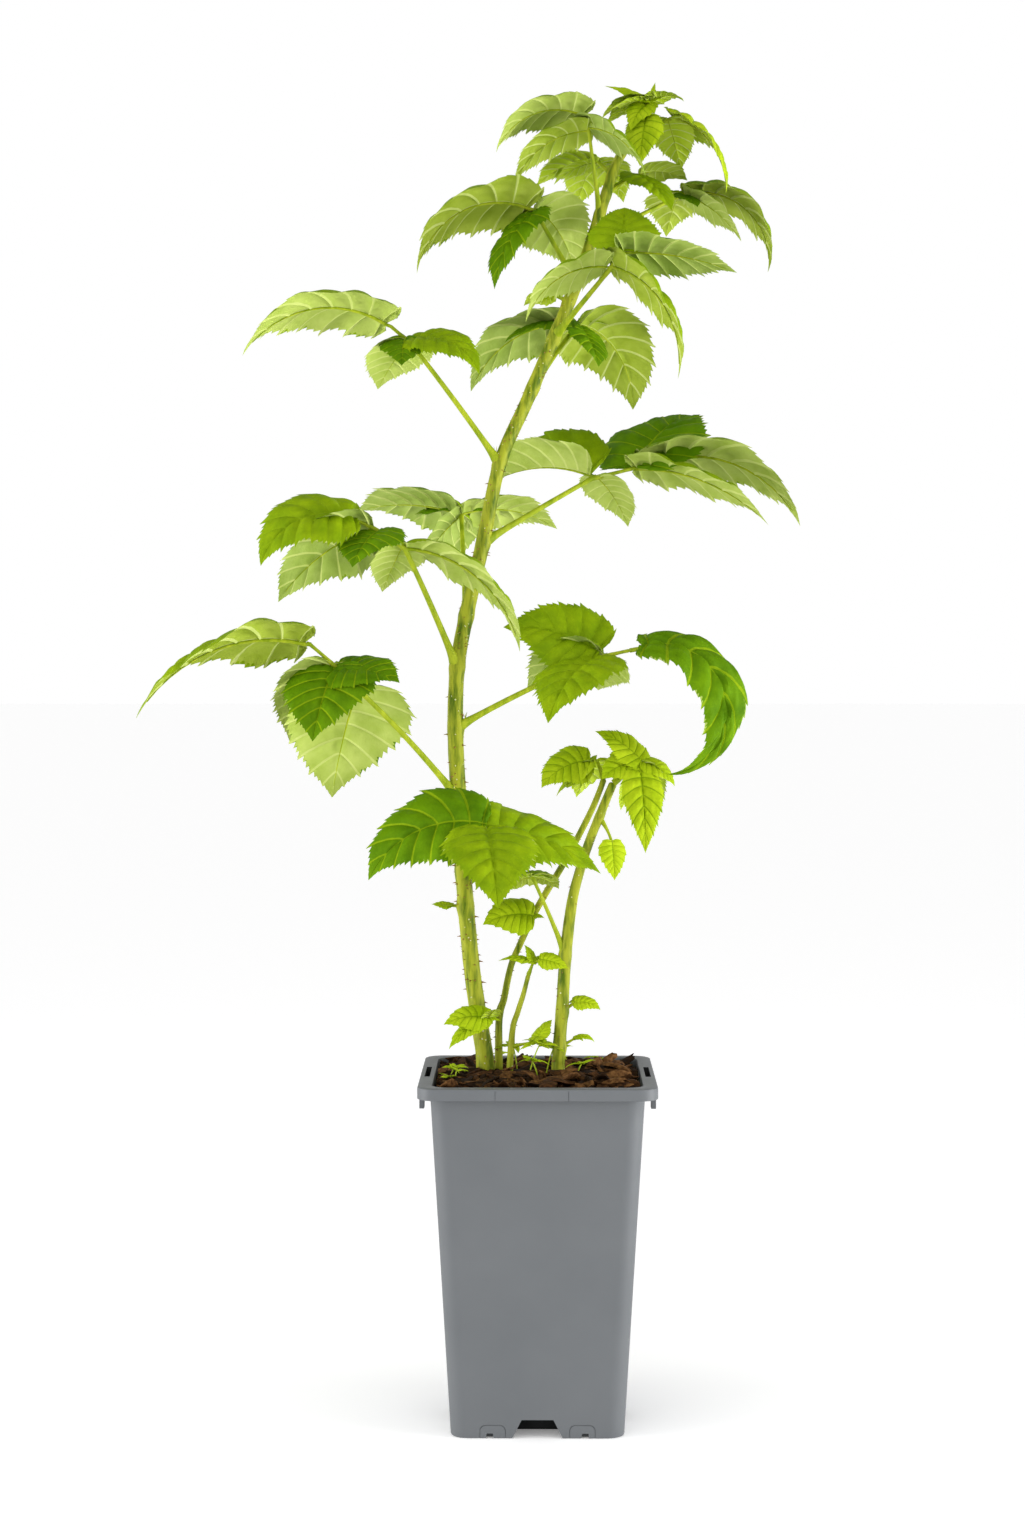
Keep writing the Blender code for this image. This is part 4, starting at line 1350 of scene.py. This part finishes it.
@dataclass
class Canes:
    """The four canes with their nodes, ridges and prickles."""

    parts: int = 8
    sides: dict[Cane, int] = field(default_factory=lambda: {
        Cane.MAIN: 36, Cane.RIGHT: 28, Cane.BACK: 22, Cane.THIN: 18,
    })
    ridge: float = 0.035
    ridge_count: int = 5
    ridge_turn: float = 0.012
    tip_rounding: tuple[float, float] = (0.85, 0.45)
    bump: float = 0.03
    bump_stretch: float = 0.12
    node_swell: float = 0.16
    node_spread: float = 4.0
    prickle_length: tuple[float, float] = (1.3, 3.4)
    prickle_spacing: float = 1.05
    prickle_top: float = 790.0
    prickle_fade: float = 0.45
    prickle_sag: float = 0.25
    pale_share: float = 0.45
    pale_size: float = 0.4
    # How much wider apart the prickles are on the side canes
    side_thinning: float = 3.0
    seed: int = 5

    def __post_init__(self) -> None:
        """Lays out each cane's middle line."""
        self.lines: dict[Cane, Array] = {}
        for cane, stations in CANES.items():
            at = np.linspace(0, len(stations) - 1, (len(stations) - 1) * self.parts + 1)
            self.lines[cane] = spline(np.array(stations, float), at)

    def at(self, cane: Cane, height: float) -> tuple[Array, Array, float]:
        """A cane's middle, direction and radius at a height.

        Args:
            cane: Which cane.
            height: The height above the ground.

        Returns:
            The middle, the unit direction and the radius.
        """
        line = self.lines[cane]
        heights = line[:, 0]
        height = min(max(height, heights[0]), heights[-1])
        x, y, radius = (np.interp(height, heights, line[:, axis]) for axis in (1, 2, 3))
        step = min(max(int(np.searchsorted(heights, height)), 1), len(line) - 1)
        ahead = line[step] - line[step - 1]
        return np.array([x, y, height]), unit(ahead[[1, 2, 0]]), float(radius)

    def relief(self, cane: Cane, line: Array, nodes: list[tuple[float, float]]) -> Array:
        """The radius of a cane at each point and side.

        Args:
            cane: Which cane.
            line: Its stations, one row for each ring.
            nodes: The height and heading of each leaf on it.

        Returns:
            A radius for each ring and side.
        """
        sides = self.sides[cane]
        angles = np.arange(sides) * math.tau / sides
        heights = line[:, :1]
        ridges = np.cos(self.ridge_count * angles[None] + heights * self.ridge_turn)
        radii = line[:, 3:] * (1 + self.ridge * ridges)
        for node, heading in nodes:
            near = np.exp(-(((heights - node) / self.node_spread) ** 2))
            facing = 0.5 + 0.5 * np.cos(angles[None] - math.radians(heading))
            radii = radii * (1 + self.node_swell * near * (0.35 + facing))
        bumps = np.array([
            [noise.noise(Vector((math.cos(a), math.sin(a), height * self.bump_stretch))) for a in angles]
            for height in heights[:, 0]
        ])
        return radii * (1 + self.bump * bumps)

    def tube(self, cane: Cane) -> Shape:
        """One cane, rounded over at its top."""
        nodes = [(leaf.node, leaf.stalk.heading) for leaf in LEAVES if leaf.cane is cane]
        line = self.lines[cane]
        line = spline(line, np.linspace(0, len(line) - 1, 2 * len(line) - 1))
        radii = self.relief(cane, line, nodes)
        radii[-2:] *= np.array(self.tip_rounding)[:, None]
        return sweep(line[:, [1, 2, 0]], radii, self.sides[cane], (1.0, 0.0, 0.0))

    def prickle(self, root: Array, out: Array, length: float, thick: float) -> Shape:
        """One prickle, a short cone that points out and a little down.

        Args:
            root: Its place on the bark.
            out: The direction away from the bark.
            length: Its length.
            thick: The radius of its foot.

        Returns:
            Its points and faces.
        """
        sag = unit(out + np.array([0.0, 0.0, -self.prickle_sag]))
        line = [root - out * 0.3, root + out * length * 0.35, root + (out + sag) * length * 0.5]
        return sweep(np.array(line), np.array([thick, thick * 0.5, thick * 0.06]), 6, (0.3, 0.2, 1.0))

    def prickles(self, draft: MeshDraft) -> None:
        """Spreads the prickles over the canes, longest low down and closest on the main one.

        Args:
            draft: The mesh they join.
        """
        rng = random.Random(self.seed)
        for cane, line in self.lines.items():
            height = line[0, 0] + 14
            top = min(line[-1, 0] - 4, self.prickle_top)
            while height < top:
                middle, _, radius = self.at(cane, height)
                angle = rng.uniform(0, math.tau)
                out = np.array([math.cos(angle), math.sin(angle), 0.0])
                fade = 1 - self.prickle_fade * (height - line[0, 0]) / (top - line[0, 0])
                length = rng.uniform(*self.prickle_length) * fade * min(1.0, radius / 3)
                pale = rng.random() < self.pale_share
                size = length * (self.pale_size if pale else 1.0)
                shape = self.prickle(middle + out * radius, out, size, 0.25 + length * 0.17)
                draft.add(*shape, int(pale))
                apart = 1.0 if cane is Cane.MAIN else self.side_thinning
                height += rng.expovariate(1 / self.prickle_spacing) * apart

    def build(self) -> list[bpy.types.Object]:
        """Builds and dresses the canes and their prickles."""
        material = CANE_GREEN.material()
        made = []
        for cane in Cane:
            draft = MeshDraft()
            draft.add(*self.tube(cane))
            made.append(draft.to_object("stem_" + cane.value, [material]))
        prickles = MeshDraft()
        self.prickles(prickles)
        made.append(prickles.to_object("prickles", [finish.material() for finish in PRICKLE_FINISHES]))
        return made


@dataclass
class Blades:
    """How a leaflet's blade is cut, quilted and thickened, from its veins."""

    # Where each side vein leaves the midrib, as a share of the leaflet's length
    vein_starts: tuple[float, ...] = (0.0, 0.03, 0.12, 0.23, 0.35, 0.48, 0.62, 0.78, 1.0)
    # Where each side vein meets the margin: share of the length, share of the half width
    vein_ends: tuple[tuple[float, float], ...] = (
        (-0.03, 0.30), (0.00, 0.68), (0.17, 0.97), (0.36, 1.00), (0.53, 0.83),
        (0.68, 0.61), (0.80, 0.39), (0.90, 0.17), (1.00, 0.00),
    )
    vein_sweep: float = 1.2
    arch: float = 0.35
    furrow: float = 0.5
    thickness: float = 0.45
    # Rows from one side vein to the next, with how far the margin's teeth stand out there
    fine_rows: tuple[float, ...] = (
        0.0, 0.03, 0.10, 0.22, 0.33, 0.39, 0.52, 0.63, 0.69, 0.82, 0.92, 0.97,
    )
    fine_teeth: tuple[float, ...] = (
        1.5, 1.1, -0.6, -0.1, 0.6, -0.5, 0.0, 0.6, -0.4, 0.2, 0.9, 1.35,
    )
    plain_rows: tuple[float, ...] = (0.0, 0.04, 0.30, 0.56, 0.96)
    plain_teeth: tuple[float, ...] = (1.0, 0.4, -0.5, 0.25, 0.9)
    fine_columns: tuple[float, ...] = (0.0, 0.024, 0.08, 0.18, 0.30, 0.43, 0.56, 0.69, 0.81, 0.91, 1.0)
    plain_columns: tuple[float, ...] = (0.0, 0.035, 0.2, 0.45, 0.75, 1.0)
    fine_from: float = 38.0
    tooth: float = 0.027
    tooth_lean: float = 0.07
    uneven: tuple[float, float] = (0.6, 1.3)
    quilt: float = 0.023
    ridge: float = 0.006
    wave: float = 0.034
    # The two wave numbers of the left half's margin and of the right half's
    wave_counts: tuple[tuple[float, float], tuple[float, float]] = ((13, 29), (12, 31))
    second_wave: float = 0.6
    # The width of a vein, as a share of the way from one to the next
    vein_width: float = 0.05

    def grid(self, leaflet: Leaflet) -> tuple[Array, Array, Array, Array]:
        """The rows and columns of a leaflet's mesh.

        Args:
            leaflet: The leaflet.

        Returns:
            The rows as shares from base to tip, each row's way between its veins, each row's tooth,
            and the columns from the right margin to the left one.
        """
        fine = leaflet.length >= self.fine_from
        places = np.array(self.fine_rows if fine else self.plain_rows)
        teeth = np.array(self.fine_teeth if fine else self.plain_teeth)
        columns = np.array(self.fine_columns if fine else self.plain_columns)
        veins = len(self.vein_starts) - 1
        rows = np.append((np.arange(veins)[:, None] + places[None]).ravel() / veins, 1.0)
        return (
            rows, np.append(np.tile(places, veins), 0.0), np.append(np.tile(teeth, veins), 0.0),
            np.concatenate([-columns[:0:-1], columns]),
        )

    def margin(
        self, leaflet: Leaflet, rows: Array, teeth: Array, across: Array, rng: random.Random,
    ) -> tuple[Array, Array, Array]:
        """How the rows of a blade run out along its side veins to its toothed margin.

        Args:
            leaflet: The leaflet.
            rows: The rows as shares from base to tip.
            teeth: How far the margin stands out at each row.
            across: The columns from the right margin to the left one.
            rng: The source of its uneven teeth.

        Returns:
            Each point's share of the length, its share of the half width, and how wide each row is.
        """
        veins = len(self.vein_starts) - 1
        length, half = leaflet.length, leaflet.width / 2
        start = spline(self.vein_starts, rows * veins)
        ends = spline(self.vein_ends, rows * veins)
        end_x, end_y = ends[:, :1], np.maximum(ends[:, 1:], 0.0)
        end_y[-1] = 0.0
        out = np.abs(across)
        along = start + (end_x - start) * out ** self.vein_sweep
        aside = end_y * across

        uneven = np.array([[rng.uniform(*self.uneven) for _ in range(2)] for _ in rows])
        size = self.tooth * length * teeth[:, None] * np.where(across < 0, uneven[:, :1], uneven[:, 1:])
        size = size * out ** 9 * np.minimum(1, end_y * 2.2) * min(1.0, half / (0.28 * length))
        run = self.vein_sweep * (end_x - start) * length + self.tooth_lean * length
        reach = end_y * half
        slope = np.maximum(np.hypot(run, reach), 1e-6)
        along = along + size * run / slope / length
        aside = aside + size * reach / slope * np.sign(across) / half
        return along, aside, end_y

    def lift(
        self, leaflet: Leaflet, rows: Array, between: Array, across: Array, aside: Array, end_y: Array,
        rng: random.Random,
    ) -> Array:
        """How far each point of a blade is raised: its fold, its quilting and its waving margin.

        Args:
            leaflet: The leaflet.
            rows: The rows as shares from base to tip.
            between: Each row's way between its veins.
            across: The columns from the right margin to the left one.
            aside: Each point's share of the half width.
            end_y: How wide each row is.
            rng: The source of its waves.

        Returns:
            A height for each point.
        """
        length, half = leaflet.length, leaflet.width / 2
        out = np.abs(across)
        quilted = np.sin(math.pi * between)[:, None] ** 0.8
        quilted = quilted * (1 - self.furrow * np.cos(math.tau * 3 * out) * np.minimum(1, out * 3))
        edge = np.minimum(1, out / 0.12) * (1 - 0.72 * out ** 3) * np.minimum(1, end_y * 2)
        raised = half * (np.abs(aside) * math.tan(math.radians(leaflet.fold)) - self.arch * aside ** 2)
        raised = raised + self.quilt * length * quilted * edge
        phases = [rng.uniform(0, math.tau) for _ in range(4)]
        left, right = (
            np.sin(rows * slow + first) + self.second_wave * np.sin(rows * fast + second)
            for (slow, fast), (first, second) in zip(self.wave_counts, (phases[:2], phases[2:]))
        )
        wave = np.where(across < 0, right[:, None], left[:, None])
        return raised + self.wave * length * wave * out ** 2 * end_y * 0.6

    def surface(self, leaflet: Leaflet, arc: Arc, rng: random.Random) -> tuple[Array, Array, Array]:
        """The places of a blade's upper and under sides.

        Args:
            leaflet: The leaflet.
            arc: Its midrib.
            rng: The source of its uneven teeth and waves.

        Returns:
            The upper points and the under points, each as rows and columns, and the way between veins.
        """
        rows, between, teeth, columns = self.grid(leaflet)
        across = columns[None]
        along, aside, end_y = self.margin(leaflet, rows, teeth, across, rng)
        lift = self.lift(leaflet, rows, between, across, aside, end_y, rng)

        ahead = arc.direction(along)
        up = rolled(ahead, arc.upward(along), leaflet.roll + leaflet.twist * along)
        side = np.cross(up, ahead)
        shift = leaflet.width / 2 * aside
        middle = arc.point(along) + side * shift[..., None] + up * lift[..., None]

        out, length = np.abs(across), leaflet.length
        inside = (1 - out ** 6) * np.minimum(1, end_y * 4) * np.ones_like(along)
        inside[0] = inside[-1] = 0
        thick = self.thickness * min(1.0, 0.35 + length / 60) / 2 * inside
        near = np.exp(-(np.minimum(between, 1 - between) / self.vein_width) ** 2)[:, None]
        ridge = self.ridge * length * near * inside * (1 - 0.6 * out)
        return middle + up * thick[..., None], middle - up * (thick + ridge)[..., None], between

    def add(
        self, draft: MeshDraft, leaflet: Leaflet, arc: Arc, rng: random.Random, skins: tuple[int, ...],
    ) -> None:
        """Adds a closed blade to a mesh.

        Args:
            draft: The mesh.
            leaflet: The leaflet.
            arc: Its midrib.
            rng: The source of its uneven teeth and waves.
            skins: The material places of its upper side, its under side and the veins of each.
        """
        above, below, between = self.surface(leaflet, arc, rng)
        rows, columns = above.shape[:2]
        upper = np.arange(rows * columns).reshape(rows, columns)
        upper[-1] = upper[-1, columns // 2]
        under = upper + rows * columns
        under[0], under[-1] = upper[0], upper[-1]
        under[:, 0], under[:, -1] = upper[:, 0], upper[:, -1]
        faces, kinds = [], []
        middle = columns // 2
        for row in range(rows - 1):
            gap = (between[row + 1] or 1.0) - between[row]
            narrow = gap < self.vein_width
            for column in range(columns - 1):
                vein = narrow or column in (middle - 1, middle)
                for ids, skin, turned in ((upper, 0, False), (under, 1, True)):
                    corners = (
                        ids[row, column], ids[row + 1, column],
                        ids[row + 1, column + 1], ids[row, column + 1],
                    )
                    loop = tuple(dict.fromkeys(int(corner) for corner in corners))
                    faces.append(loop[::-1] if turned else loop)
                    kinds.append(skins[skin + 2] if vein else skins[skin])
        draft.add(np.vstack([above.reshape(-1, 3), below.reshape(-1, 3)]), faces, kinds)


@dataclass
class Foliage:
    """The compound leaves: their stalks, rachises and midribs as stems, and their blades."""

    canes: Canes
    blades: Blades = field(default_factory=Blades)
    stem_taper: float = 0.7
    base_flare: float = 0.80
    flare_length: float = 6.0
    hub_swell: float = 0.22
    groove: float = 0.16
    groove_width: float = 0.5
    rib_share: float = 0.011
    thinnest_rib: float = 0.45
    rib_reach: float = 0.9
    rib_taper: float = 0.9
    stipule: tuple[float, float] = (7.5, 0.42)
    sessile: float = 2.0
    root_sunk: float = 1.0
    stalk_ring_gap: float = 3.0
    rachis_ring_gap: float = 2.0
    # Where a stem starts inside its cane, as a share of the cane's radius
    inset: float = 0.35
    stem_sides: tuple[int, int] = (14, 10)
    stipule_turn: float = 42.0
    stipule_reach: float = 2.4
    seed: int = 3

    def stem(self, leaf: CompoundLeaf) -> tuple[Array, list[Face], Arc]:
        """A leaf's stalk and rachis as one tapering stem with a groove along its upper side.

        Args:
            leaf: The leaf.

        Returns:
            The stem's points and faces, and the rachis.
        """
        middle, _, cane_radius = self.canes.at(leaf.cane, leaf.node)
        stalk = Arc(middle, leaf.stalk)
        rachis = Arc(stalk.point(1.0), leaf.rachis)
        start = self.inset * cane_radius / leaf.stalk.length
        if leaf.node >= self.canes.lines[leaf.cane][-1, 0]:
            start = 0.0
        shares = np.linspace(start, 1, max(6, round(leaf.stalk.length / self.stalk_ring_gap)))
        tail = np.linspace(0, 1, max(4, round(leaf.rachis.length / self.rachis_ring_gap)))[1:]
        line = np.vstack([stalk.point(shares), rachis.point(tail)])
        hints = np.vstack([stalk.upward(shares), rachis.upward(tail)])
        gone = np.concatenate([[0.0], np.cumsum(np.linalg.norm(np.diff(line, axis=0), axis=1))])
        gone = gone + start * leaf.stalk.length
        radii = self.stem_radii(leaf, shares, tail, gone, cane_radius)
        sides = self.stem_sides[0 if leaf.has_bough else 1]
        angles = np.arange(sides) * math.tau / sides
        away = np.minimum(angles, math.tau - angles)
        groove = 1 - self.groove * np.exp(-((away / self.groove_width) ** 2))
        points, faces = sweep(line, radii[:, None] * groove[None], sides, hints)
        return points, faces, rachis

    def stem_radii(
        self, leaf: CompoundLeaf, shares: Array, tail: Array, gone: Array, cane_radius: float,
    ) -> Array:
        """How thick a leaf's stem is: tapering, flared at its foot and swollen at its hubs.

        Args:
            leaf: The leaf.
            shares: The rings' places along the stalk, as shares of its length.
            tail: The rings' places along the rachis, as shares of its length.
            gone: How far each ring is from the stem's start.
            cane_radius: The radius of the cane that it stands on.

        Returns:
            The radius of each ring.
        """
        tip = leaf.radius * self.stem_taper
        radii = np.concatenate([
            leaf.radius + (tip - leaf.radius) * shares, tip + (tip * self.stem_taper - tip) * tail,
        ])
        radii = radii * (1 + self.base_flare * np.exp(-np.maximum(gone - cane_radius, 0) / self.flare_length))
        roots = [leaf.stalk.length] + [leaf.stalk.length + each.along for each in leaf.leaflets]
        swell = sum(np.exp(-(((gone - root) / (1.6 * leaf.radius)) ** 2)) for root in set(roots))
        radii = radii * (1 + self.hub_swell * np.minimum(swell, 1))
        radii[-1] *= 0.5
        return radii

    def midrib(self, leaflet: Leaflet, arc: Arc, root: Array) -> Shape:
        """A leaflet's own stem and the raised midrib under its blade.

        Args:
            leaflet: The leaflet.
            arc: Its midrib's middle line.
            root: Where its stem starts, inside the rachis.

        Returns:
            The points and faces.
        """
        thick = max(self.thinnest_rib, leaflet.length * self.rib_share)
        shares = np.linspace(0, self.rib_reach, 12)
        up = rolled(arc.direction(shares), arc.upward(shares), leaflet.roll + leaflet.twist * shares)
        radii = thick * (1 - self.rib_taper * shares)
        under = arc.point(shares) - up * (radii * 0.75)[:, None]
        line = np.vstack([root[None], under])
        return sweep(line, np.concatenate([[thick], radii]), 8, np.vstack([up[:1], up]))

    def stipules(self, draft: MeshDraft, leaf: CompoundLeaf) -> None:
        """Adds the pair of narrow slivers beside the foot of a leaf's stalk.

        Args:
            draft: The mesh they join.
            leaf: The leaf.
        """
        middle, along, radius = self.canes.at(leaf.cane, leaf.node)
        stalk = Arc(middle, leaf.stalk)
        length, thick = self.stipule
        for side in (-1, 1):
            out = heading_vectors(leaf.stalk.heading + self.stipule_turn * side, 0.0)
            root = stalk.point(1.15 * radius / leaf.stalk.length) + out * radius * 0.25
            shares = np.linspace(0, 1, 6)[:, None]
            line = root + out * self.stipule_reach * shares ** 1.5 + along * length * shares
            draft.add(*sweep(line, thick * (1.05 - shares[:, 0]) ** 0.7, 6, out))

    def leaf(self, leaf: CompoundLeaf, seed: int, stems: MeshDraft, blades: MeshDraft) -> None:
        """Adds one leaf.

        Args:
            leaf: The leaf.
            seed: The seed of its first leaflet's chances.
            stems: The mesh that its stems and midribs join.
            blades: The mesh that its blades join.
        """
        points, faces, rachis = self.stem(leaf)
        stems.add(points, faces)
        if leaf.has_bough:
            self.stipules(stems, leaf)
        for place, leaflet in enumerate(leaf.leaflets):
            root = rachis.point(leaflet.along / leaf.rachis.length)
            ahead = heading_vectors(leaflet.heading, leaflet.rise)
            sunk = root - ahead * self.root_sunk
            foot = root + ahead * leaflet.stem if leaflet.stem > self.sessile else sunk
            arc = Arc(foot, leaflet.bend)
            skins = (*leaf.tints[place % len(leaf.tints)], Skin.UPPER_VEIN, Skin.UNDER_VEIN)
            kinds = tuple(list(Skin).index(skin) for skin in skins)
            self.blades.add(blades, leaflet, arc, random.Random(seed + place), kinds)
            stems.add(*self.midrib(leaflet, arc, sunk))

    def build(self) -> list[bpy.types.Object]:
        """Builds and dresses every leaf.

        Returns:
            One piece of stems and one piece of blades for each storey.
        """
        skins = LeafPalette().materials()
        stem_material = STEM_GREEN.material()
        stems = MeshDraft()
        drafts = {tier: MeshDraft() for tier in Tier}
        for number, leaf in enumerate(LEAVES):
            self.leaf(leaf, 1000 * self.seed + 50 * number, stems, drafts[leaf.tier])
        made = [stems.to_object("leaf_stems", [stem_material])]
        for tier, draft in drafts.items():
            made.append(draft.to_object(tier.value, list(skins.values()), SHARP_BLADE))
        return made


@dataclass(frozen=True)
class Sprout:
    """A seedling's place on the bark, its height, its first leaf's heading and its leaves' length."""

    x: float
    y: float
    tall: float
    heading: float
    leaf: float = 9.0


@dataclass
class Seedlings:
    """The small seedlings that come up through the bark: pairs of seed leaves on thread stems."""

    bark: BarkMulch
    blades: Blades = field(default_factory=Blades)
    sprouts: tuple[Sprout, ...] = (
        Sprout(-57.0, -12.0, 7.0, 10.0), Sprout(-53.0, -20.0, 5.0, 60.0), Sprout(-58.5, -24.0, 4.5, -40.0),
        Sprout(-49.0, -14.0, 6.0, 150.0), Sprout(12.0, 26.0, 6.0, 30.0), Sprout(38.0, 40.0, 5.0, -70.0),
        Sprout(-24.0, 44.0, 6.0, 100.0), Sprout(-6.0, -9.0, 22.0, -20.0, 15.0),
        Sprout(1.0, -13.0, 12.0, 200.0, 13.0), Sprout(5.0, -6.0, 18.0, 40.0, 14.0),
        Sprout(24.0, -12.0, 9.0, 0.0, 12.0), Sprout(-13.0, 12.0, 16.0, 120.0, 14.0),
    )
    slender: float = 0.5
    stem: float = 0.45
    root: float = 1.0
    leaf_turns: tuple[float, ...] = (0.0, 172.0, 80.0, 262.0)
    leaf_size: tuple[float, float] = (0.7, 1.1)
    # How far a leaf may turn and roll either way, and the bounds of its rise and droop
    leaf_sway: tuple[float, float] = (-15.0, 15.0)
    leaf_rise: tuple[float, float] = (5.0, 35.0)
    leaf_droop: tuple[float, float] = (20.0, 60.0)
    seed: int = 17

    def build(self) -> bpy.types.Object:
        """Builds and dresses the seedlings as one piece."""
        rng = random.Random(self.seed)
        draft = MeshDraft()
        for sprout in self.sprouts:
            heading = sprout.heading
            foot = np.array([sprout.x, sprout.y, self.bark.ground(sprout.x, sprout.y) - self.root])
            arc = Arc(foot, Bend(heading, 82.0, 20.0, sprout.tall + 4.0))
            line = arc.points[::6]
            draft.add(*sweep(line, np.full(len(line), self.stem), 6, (0.3, 1.0, 0.1)), 3)
            for turn in self.leaf_turns:
                size = sprout.leaf * rng.uniform(*self.leaf_size)
                shape = Leaflet(
                    0.0, heading + turn + rng.uniform(*self.leaf_sway), rng.uniform(*self.leaf_rise),
                    rng.uniform(*self.leaf_droop), size, size * self.slender, rng.uniform(*self.leaf_sway),
                )
                self.blades.add(draft, shape, Arc(arc.point(1.0), shape.bend), rng, (0, 1, 2, 3))
        skins = LeafPalette().materials()
        order = (Skin.LIME, Skin.LEMON, Skin.LIME, Skin.LEMON)
        return draft.to_object("seedlings", [skins[skin] for skin in order], SHARP_BLADE)


@dataclass
class Studio:
    """The pale floor, the soft light and the camera."""

    camera_place: tuple[float, float, float] = (0.0, -1.785, 0.488)
    camera_dip: float = 2.18
    camera_yaw: float = 0.52
    focal_pixels: float = 2783.0
    image_height: float = 1534.0
    sensor: float = 36.0
    floor_size: float = 60.0
    floor_white: float = 0.97
    floor_glow: float = 0.185
    floor_roughness: float = 0.9
    horizon: float = 1.0
    zenith: float = 0.34
    sky_fade: tuple[float, float] = (0.30, 0.75)
    key_strength: float = 1.05
    key_softness: float = 75.0
    key_aim: tuple[float, float, float] = (0.22, 0.50, -0.85)
    box_place: tuple[float, float, float] = (1.5, -0.45, 0.10)
    box_size: float = 0.9
    box_powers: tuple[float, float] = (25.0, 39.0)
    aim_height: float = 0.4

    def camera(self) -> None:
        """Sets the camera where the photograph was taken from."""
        data = bpy.data.cameras.new("camera")
        data.sensor_fit = "VERTICAL"
        data.sensor_height = self.sensor
        data.sensor_width = self.sensor
        data.lens = self.focal_pixels / self.image_height * self.sensor
        made = add_object("camera", data)
        made.location = self.camera_place
        made.rotation_euler = (
            math.radians(90 - self.camera_dip), 0.0, math.radians(self.camera_yaw),
        )
        bpy.context.scene.camera = made

    def lamp(self, name: str, kind: str, aim: Vector) -> bpy.types.Object:
        """Adds a light.

        Args:
            name: The light's name.
            kind: Blender's name for its kind.
            aim: The direction it shines in.

        Returns:
            The light.
        """
        made = add_object(name, bpy.data.lights.new(name, kind))
        made.rotation_euler = aim.to_track_quat("-Z", "Y").to_euler()
        return made

    def softbox(self, name: str, place: tuple[float, float, float], power: float) -> None:
        """Adds a soft square light that faces the plant.

        Args:
            name: The light's name.
            place: Where it hangs, in metres.
            power: Its power in watts.
        """
        made = self.lamp(name, "AREA", Vector((0, 0, self.aim_height)) - Vector(place))
        made.location = place
        made.data.shape = "SQUARE"
        made.data.size = self.box_size
        made.data.energy = power

    def key(self) -> None:
        """Adds the main light, from high on the left, soft at its edges."""
        made = self.lamp("key", "SUN", Vector(self.key_aim))
        made.data.energy = self.key_strength
        made.data.angle = math.radians(self.key_softness)

    def sky(self) -> None:
        """Adds the white room, brightest round the horizon."""
        world = bpy.data.worlds.new("studio")
        bpy.context.scene.world = world
        world.use_nodes = True
        tree = world.node_tree
        place = tree.nodes.new("ShaderNodeTexCoord")
        parts = tree.nodes.new("ShaderNodeSeparateXYZ")
        tree.links.new(place.outputs["Generated"], parts.inputs["Vector"])
        ramp = tree.nodes.new("ShaderNodeValToRGB")
        low, high = ramp.color_ramp.elements
        low.position, high.position = self.sky_fade
        low.color, high.color = grey(self.horizon), grey(self.zenith)
        tree.links.new(parts.outputs["Z"], ramp.inputs["Fac"])
        tree.links.new(ramp.outputs["Color"], tree.nodes["Background"].inputs["Color"])

    def floor(self) -> None:
        """Adds the floor, pale enough to meet the background."""
        shape = bmesh.new()
        bmesh.ops.create_grid(shape, x_segments=4, y_segments=4, size=self.floor_size / 2)
        made = add_object("floor", free_to_mesh("floor", shape))
        material = bpy.data.materials.new("floor_white")
        material.use_nodes = True
        shader = material.node_tree.nodes["Principled BSDF"]
        shader.inputs["Base Color"].default_value = grey(self.floor_white)
        shader.inputs["Roughness"].default_value = self.floor_roughness
        shader.inputs["Specular IOR Level"].default_value = 0.0
        shader.inputs["Emission Color"].default_value = grey(1.0)
        shader.inputs["Emission Strength"].default_value = self.floor_glow
        made.data.materials.append(material)

    def build(self) -> None:
        """Builds the whole studio."""
        self.camera()
        self.floor()
        across, near, high = self.box_place
        left, right = self.box_powers
        self.softbox("left_softbox", (-across, near, high), left)
        self.softbox("right_softbox", (across, near, high), right)
        self.key()
        self.sky()
        bpy.context.scene.view_settings.view_transform = "Standard"


def stand_for(piece: bpy.types.Object, solids: list[str]) -> None:
    """Lets a piece ride on the plant's body and stand for solids.

    Args:
        piece: The piece.
        solids: The names of the solids that it stands for.
    """
    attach(piece, "root")
    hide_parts(*solids)
    LOG.info("%s: %d faces for %s", piece.name, len(piece.data.polygons), ", ".join(solids))


def corners(box: tuple[Vector, Vector]) -> list[list[float]]:
    """A box's two corners as plain numbers."""
    return [[float(value) for value in corner] for corner in box]


def main() -> None:
    """Builds the plant around its frame and dresses it, logging each piece's face count."""
    logging.basicConfig(level=logging.INFO, format="%(name)s: %(message)s")
    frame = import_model()
    LOG.info("%d solids in the frame", len(frame["nodes"]))
    Studio().build()
    stand_for(Pot().build(), ["pot"])
    mulch = BarkMulch()
    for piece in mulch.build():
        stand_for(piece, ["bark"])
    stand_for(Seedlings(mulch).build(), ["bark"])
    canes = Canes()
    *stems, prickles = canes.build()
    for cane, piece in zip(Cane, stems):
        stand_for(piece, [cane.value])
    stand_for(prickles, [cane.value for cane in Cane])
    leaf_stems, *blades = Foliage(canes).build()
    stand_for(leaf_stems, [name for leaf in LEAVES for name in leaf.solids])
    for tier, piece in zip(Tier, blades):
        stand_for(piece, ["leaf_" + leaf.name for leaf in LEAVES if leaf.tier is tier])


if __name__ == "__main__":
    main()
